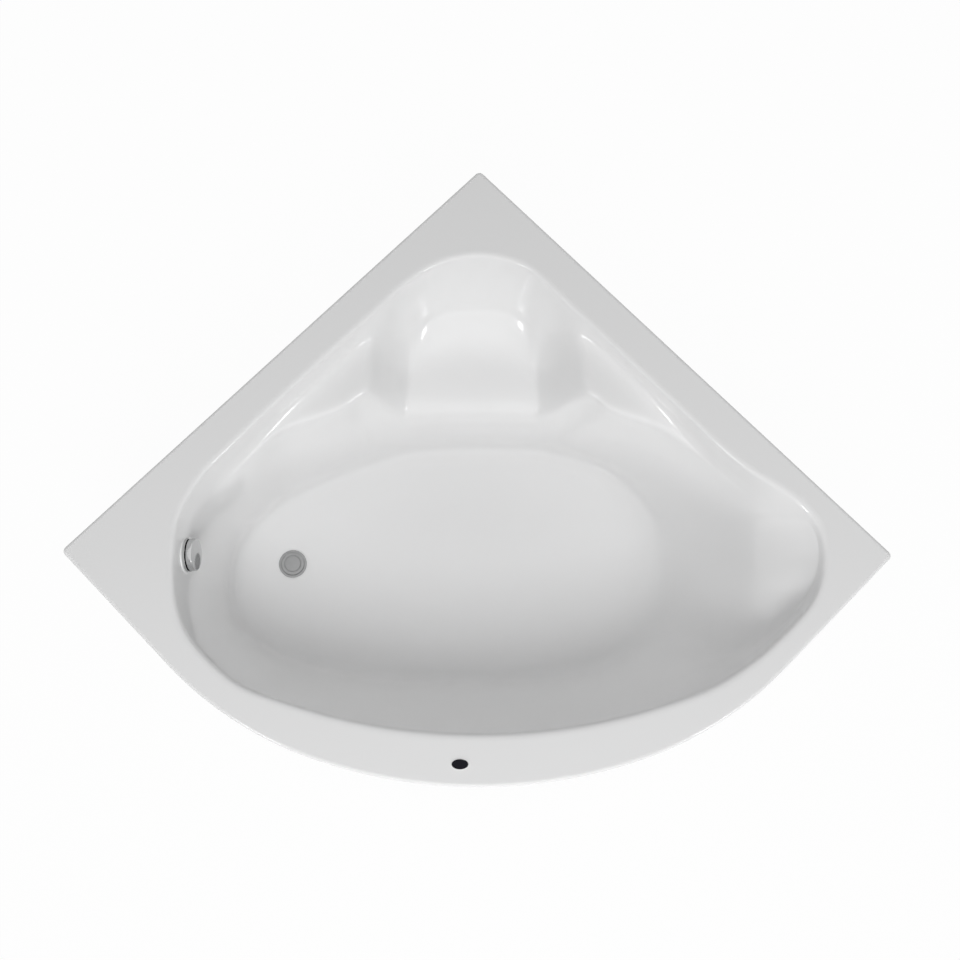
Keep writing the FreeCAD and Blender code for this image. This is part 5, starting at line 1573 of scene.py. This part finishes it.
@dataclass
class OvalBadge:
    """The blank dark oval on the front deck, with a pale raised rim."""

    x: float = -35.0
    y: float = -687.605
    length: float = 40.0
    width: float = 25.0
    low: float = 600.0
    height: float = 1.5
    rim: float = 1.2
    steps: int = 96
    enamel_ring: int = 6        # the ring from which the face is dark

    @property
    def rings(self) -> list[tuple[float, float]]:
        """The badge's shape: its side, the rim's top and the domed face.

        Returns:
            Inset and height of each ring.
        """
        top, rim = self.height, self.rim
        return [(0.0, 0.0), (0.0, top - 0.5), (0.2, top - 0.15), (0.6, top), (rim - 0.3, top),
                (rim, top - 0.25), (rim + 0.25, top - 0.5), (3.4, top - 0.35), (6.0, top - 0.15),
                (9.0, top - 0.05), (12.0, top)]

    def oval(self, inset: float, height: float) -> Ring:
        """A ring of the badge.

        Args:
            inset: how far it is set in from the outline.
            height: its height above the deck.

        Returns:
            The closed ring, in metres.
        """
        turns = np.linspace(0, 2 * math.pi, self.steps, endpoint=False)
        return np.stack([self.x + (self.length / 2 - inset) * np.cos(turns),
                         self.y + (self.width / 2 - inset) * np.sin(turns),
                         np.full(self.steps, self.low + height)], axis=1) * MM

    def build(self) -> bpy.types.Object:
        """Make the badge, with its faces from the enamel's ring inward dark.

        Returns:
            The badge.
        """
        vertices, faces = loft([self.oval(*ring) for ring in self.rings], True, True)
        underside = len(faces) - 2
        made = mesh_object("badge_dressed", vertices, faces, [ACRYLIC.material(), OVAL.material()])
        for number, face in enumerate(made.data.polygons):
            inside = number // self.steps >= self.enamel_ring
            face.material_index = int(inside and number != underside)
        finish_mesh(made)
        return settle(made, "tub", "badge_dark", "badge")


# ---------------------------------------------------------------- dressed solids

@dataclass(frozen=True)
class Dress:
    """How solids' copies are dressed: finish, slot, and width of the rounded edges."""

    finish: Finish
    slot: str
    bevel: float
    nodes: tuple[str, ...]
    sharp: float = 30.0

    def build(self) -> None:
        """Make the dressed copies."""
        for node in self.nodes:
            made = dressed_copy(node, node + "_dressed", [self.finish.material()], self.bevel,
                                self.sharp)
            settle(made, frame["nodes"][node]["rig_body"], self.slot)


DRESSED = (
    Dress(PANEL, "acrylic", 0.8, ("front_panel",), 25),
    Dress(BOARD, "board", 0.8, ("floor_board", "seat_board")),
    Dress(TIMBER, "softwood", 1.2, ("left_rim_batten", "right_rim_batten", "left_corner_batten",
                                    "right_corner_batten")),
    Dress(POWDER, "frame_paint", 1.5, ("long_rail", "back_rail", "front_rail", "left_post",
                                       "right_post", "back_post", "front_post", "seat_post")),
    Dress(PLASTIC, "black_plastic", 0.8, ("post_caps",)),
    Dress(ZINC, "zinc_steel", 0.5, ("lock_nuts", "left_wall_brackets", "right_wall_brackets",
                                    "left_bracket_screws", "right_bracket_screws", "panel_clip",
                                    "panel_screws", "lift_lever")),
    Dress(BRASS, "brass", 0.3, ("plug_stem", "overflow_spindle")),
    Dress(RUBBER, "rubber_black", 0.6, ("plug_seal", "drain_seal", "overflow_seal")),
    Dress(PIPE, "pipe_plastic", 0.5, ("drain_body", "trap_bend", "outlet_pipe", "overflow_body",
                                      "overflow_pipe")),
    Dress(PLASTIC, "black_plastic", 0.3, ("control_cable", "cable_clips")),
)


@dataclass(frozen=True)
class UnionNut:
    """A pipe nut or cap with grip ribs round it."""

    node: str
    place: Placement
    radius: float
    height: float
    ribs: int = 16
    rib_radius: float = 1.4
    rib_sunk: float = 0.4       # how far the ribs' axes lie under the nut's side
    rib_short: float = 3.0      # how much shorter than the nut the ribs are

    def build(self) -> bpy.types.Object:
        """Dress the solid and stand the ribs round it.

        Returns:
            The nut.
        """
        low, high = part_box(self.node)
        body = dressed_copy(self.node, self.node + "_body", [PIPE.material()], 0)
        ribs = Ribs(self.ribs, self.radius - self.rib_sunk, self.rib_radius,
                    self.height - self.rib_short)
        grips = ribs.stand(self.node + "_ribs", PIPE,
                           Matrix.Translation((low + high) / 2) @ self.place.matrix)
        made = joined(self.node + "_dressed", [body, grips])
        return settle(made, "tub", "pipe_plastic", self.node)


# ---------------------------------------------------------------- studio

class Role(Enum):
    """What a lamp is for: plain light, or bright lines on glossy edges."""

    LIGHT = "light"
    GLINT = "glint"


@dataclass(frozen=True)
class SoftBox:
    """An area light."""

    name: str
    at: tuple[float, float, float]
    aim: tuple[float, float, float]
    size: tuple[float, float]
    power: float
    role: Role = Role.LIGHT

    def build(self) -> bpy.types.Object:
        """Hang the light and turn it to its aim.

        Returns:
            The light.
        """
        lamp = bpy.data.lights.new(self.name, "AREA")
        lamp.shape = "RECTANGLE"
        lamp.size, lamp.size_y = self.size
        lamp.energy = self.power
        made = linked(self.name, lamp)
        made.location = self.at
        made.visible_glossy = self.role is Role.GLINT
        made.visible_diffuse = self.role is Role.LIGHT
        direction = Vector(self.aim) - Vector(self.at)
        made.rotation_euler = direction.to_track_quat("-Z", "Y").to_euler()
        return made


@dataclass
class Studio:
    """White room with soft lights, and the camera high in front of the tub."""

    camera_at: tuple[float, float, float] = (0.0057, -0.8088, 3.7554)
    pitch: float = 13.68
    roll: float = 0.33
    lens: float = 52.5
    sensor: float = 36.0
    floor_size: float = 30.0
    floor_white: float = 0.97
    ambient: float = 0.32
    lights: tuple[SoftBox, ...] = (
        SoftBox("key", (0.4, -4.5, 6.2), (0, 0, 0.4), (3.6, 3.0), 214.0),
        SoftBox("front_fill", (0.2, -5.0, 2.3), (0, 0, 0.4), (3.2, 1.0), 42.0),
        SoftBox("right_window", (3.1, -3.4, 2.3), (0, 0, 0.5), (0.8, 0.9), 20.0, role=Role.GLINT),
        SoftBox("left_window", (-2.9, -3.7, 2.3), (0, 0, 0.5), (0.8, 0.9), 20.0, role=Role.GLINT),
    )

    def white(self, tree: bpy.types.NodeTree) -> bpy.types.NodeSocket:
        """One for rays that show or mirror the surroundings, and nought for the light's rays.

        Args:
            tree: the world's or the floor's tree.

        Returns:
            The socket with that number.
        """
        path = tree.nodes.new("ShaderNodeLightPath")
        first, both = tree.nodes.new("ShaderNodeMath"), tree.nodes.new("ShaderNodeMath")
        first.operation = both.operation = "MAXIMUM"
        connect(tree, (path, "Is Camera Ray", first, 0), (path, "Is Glossy Ray", first, 1),
                (first, 0, both, 0), (path, "Is Transmission Ray", both, 1))
        return both.outputs[0]

    def world(self) -> None:
        """White surroundings that also fill the shadows."""
        world = bpy.data.worlds.new("white_room")
        bpy.context.scene.world = world
        world.use_nodes = True
        tree = world.node_tree
        background = tree.nodes["Background"]
        background.inputs["Color"].default_value = (1, 1, 1, 1)
        level = tree.nodes.new("ShaderNodeMapRange")
        preset(level, {"To Min": self.ambient, "To Max": 1.0})
        tree.links.new(self.white(tree), level.inputs["Value"])
        connect(tree, (level, "Result", background, "Strength"))

    def floor(self) -> bpy.types.Object:
        """A white floor that shows as white and keeps a faint shadow.

        Returns:
            The floor.
        """
        half = self.floor_size / 2
        corners = [(-half, -half, 0), (half, -half, 0), (half, half, 0), (-half, half, 0)]
        material = bpy.data.materials.new("white_floor")
        material.use_nodes = True
        tree = material.node_tree
        shader, leave = tree.nodes["Principled BSDF"], tree.nodes["Material Output"]
        preset(shader, {"Base Color": (0.8, 0.8, 0.8, 1), "Roughness": 0.8,
                        "Specular IOR Level": 0.2})
        glow, mix = tree.nodes.new("ShaderNodeEmission"), tree.nodes.new("ShaderNodeMixShader")
        share = tree.nodes.new("ShaderNodeMath")
        share.operation = "MULTIPLY"
        share.inputs[1].default_value = self.floor_white
        tree.links.new(self.white(tree), share.inputs[0])
        connect(tree, (share, 0, mix, "Fac"), (shader, "BSDF", mix, 1), (glow, "Emission", mix, 2),
                (mix, "Shader", leave, "Surface"))
        return mesh_object("studio_floor", corners, [(0, 1, 2, 3)], [material])

    def camera(self) -> bpy.types.Object:
        """The photo's camera.

        Returns:
            The camera.
        """
        made = linked("camera", bpy.data.cameras.new("camera"))
        made.data.lens, made.data.sensor_width = self.lens, self.sensor
        made.matrix_world = (Matrix.Translation(self.camera_at)
                             @ Matrix.Rotation(math.radians(self.pitch), 4, "X")
                             @ Matrix.Rotation(math.radians(self.roll), 4, "Z"))
        bpy.context.scene.camera = made
        return made

    def build(self) -> None:
        """Set up the room, lights and camera."""
        self.world()
        self.floor()
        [light.build() for light in self.lights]
        self.camera()
        bpy.context.scene.view_settings.view_transform = "Standard"


# ---------------------------------------------------------------- the whole object

@dataclass
class Bathtub:
    """The dressed assembly."""

    shell: TubShell = field(default_factory=TubShell)
    overflow: OverflowControl = field(default_factory=OverflowControl)
    drain: DrainTop = field(default_factory=DrainTop)
    badge: OvalBadge = field(default_factory=OvalBadge)

    @property
    def feet(self) -> list[LevellingFoot]:
        """The five levelling feet."""
        return [LevellingFoot(name + "_foot", x, y + self.shell.line_y)
                for name, (x, y) in FOOT_PLACES.items()]

    @property
    def nuts(self) -> list[UnionNut]:
        """The ribbed nuts and cap of the trap.

        Returns:
            The two nuts and the cap.
        """
        level = Placement((0, 0, 0), (0, 0, 1), (1, 0, 0))
        return [UnionNut("trap_nut", Placement((0, 0, 0)), 27, 20),
                UnionNut("cleanout_cap", level, 24, 10, 14, 1.2),
                UnionNut("outlet_nut", level, 27, 20)]

    def build(self) -> None:
        """Build every sub-assembly."""
        self.shell.build()
        self.overflow.build()
        self.drain.build()
        self.badge.build()
        for part in (*self.feet, *self.nuts, *DRESSED):
            part.build()


def main() -> None:
    """Dress the tub and set up the studio."""
    logging.basicConfig(level=logging.INFO, format="%(name)s %(message)s", stream=sys.stdout)
    Bathtub().build()
    Studio().build()


if __name__ == "__main__":
    main()
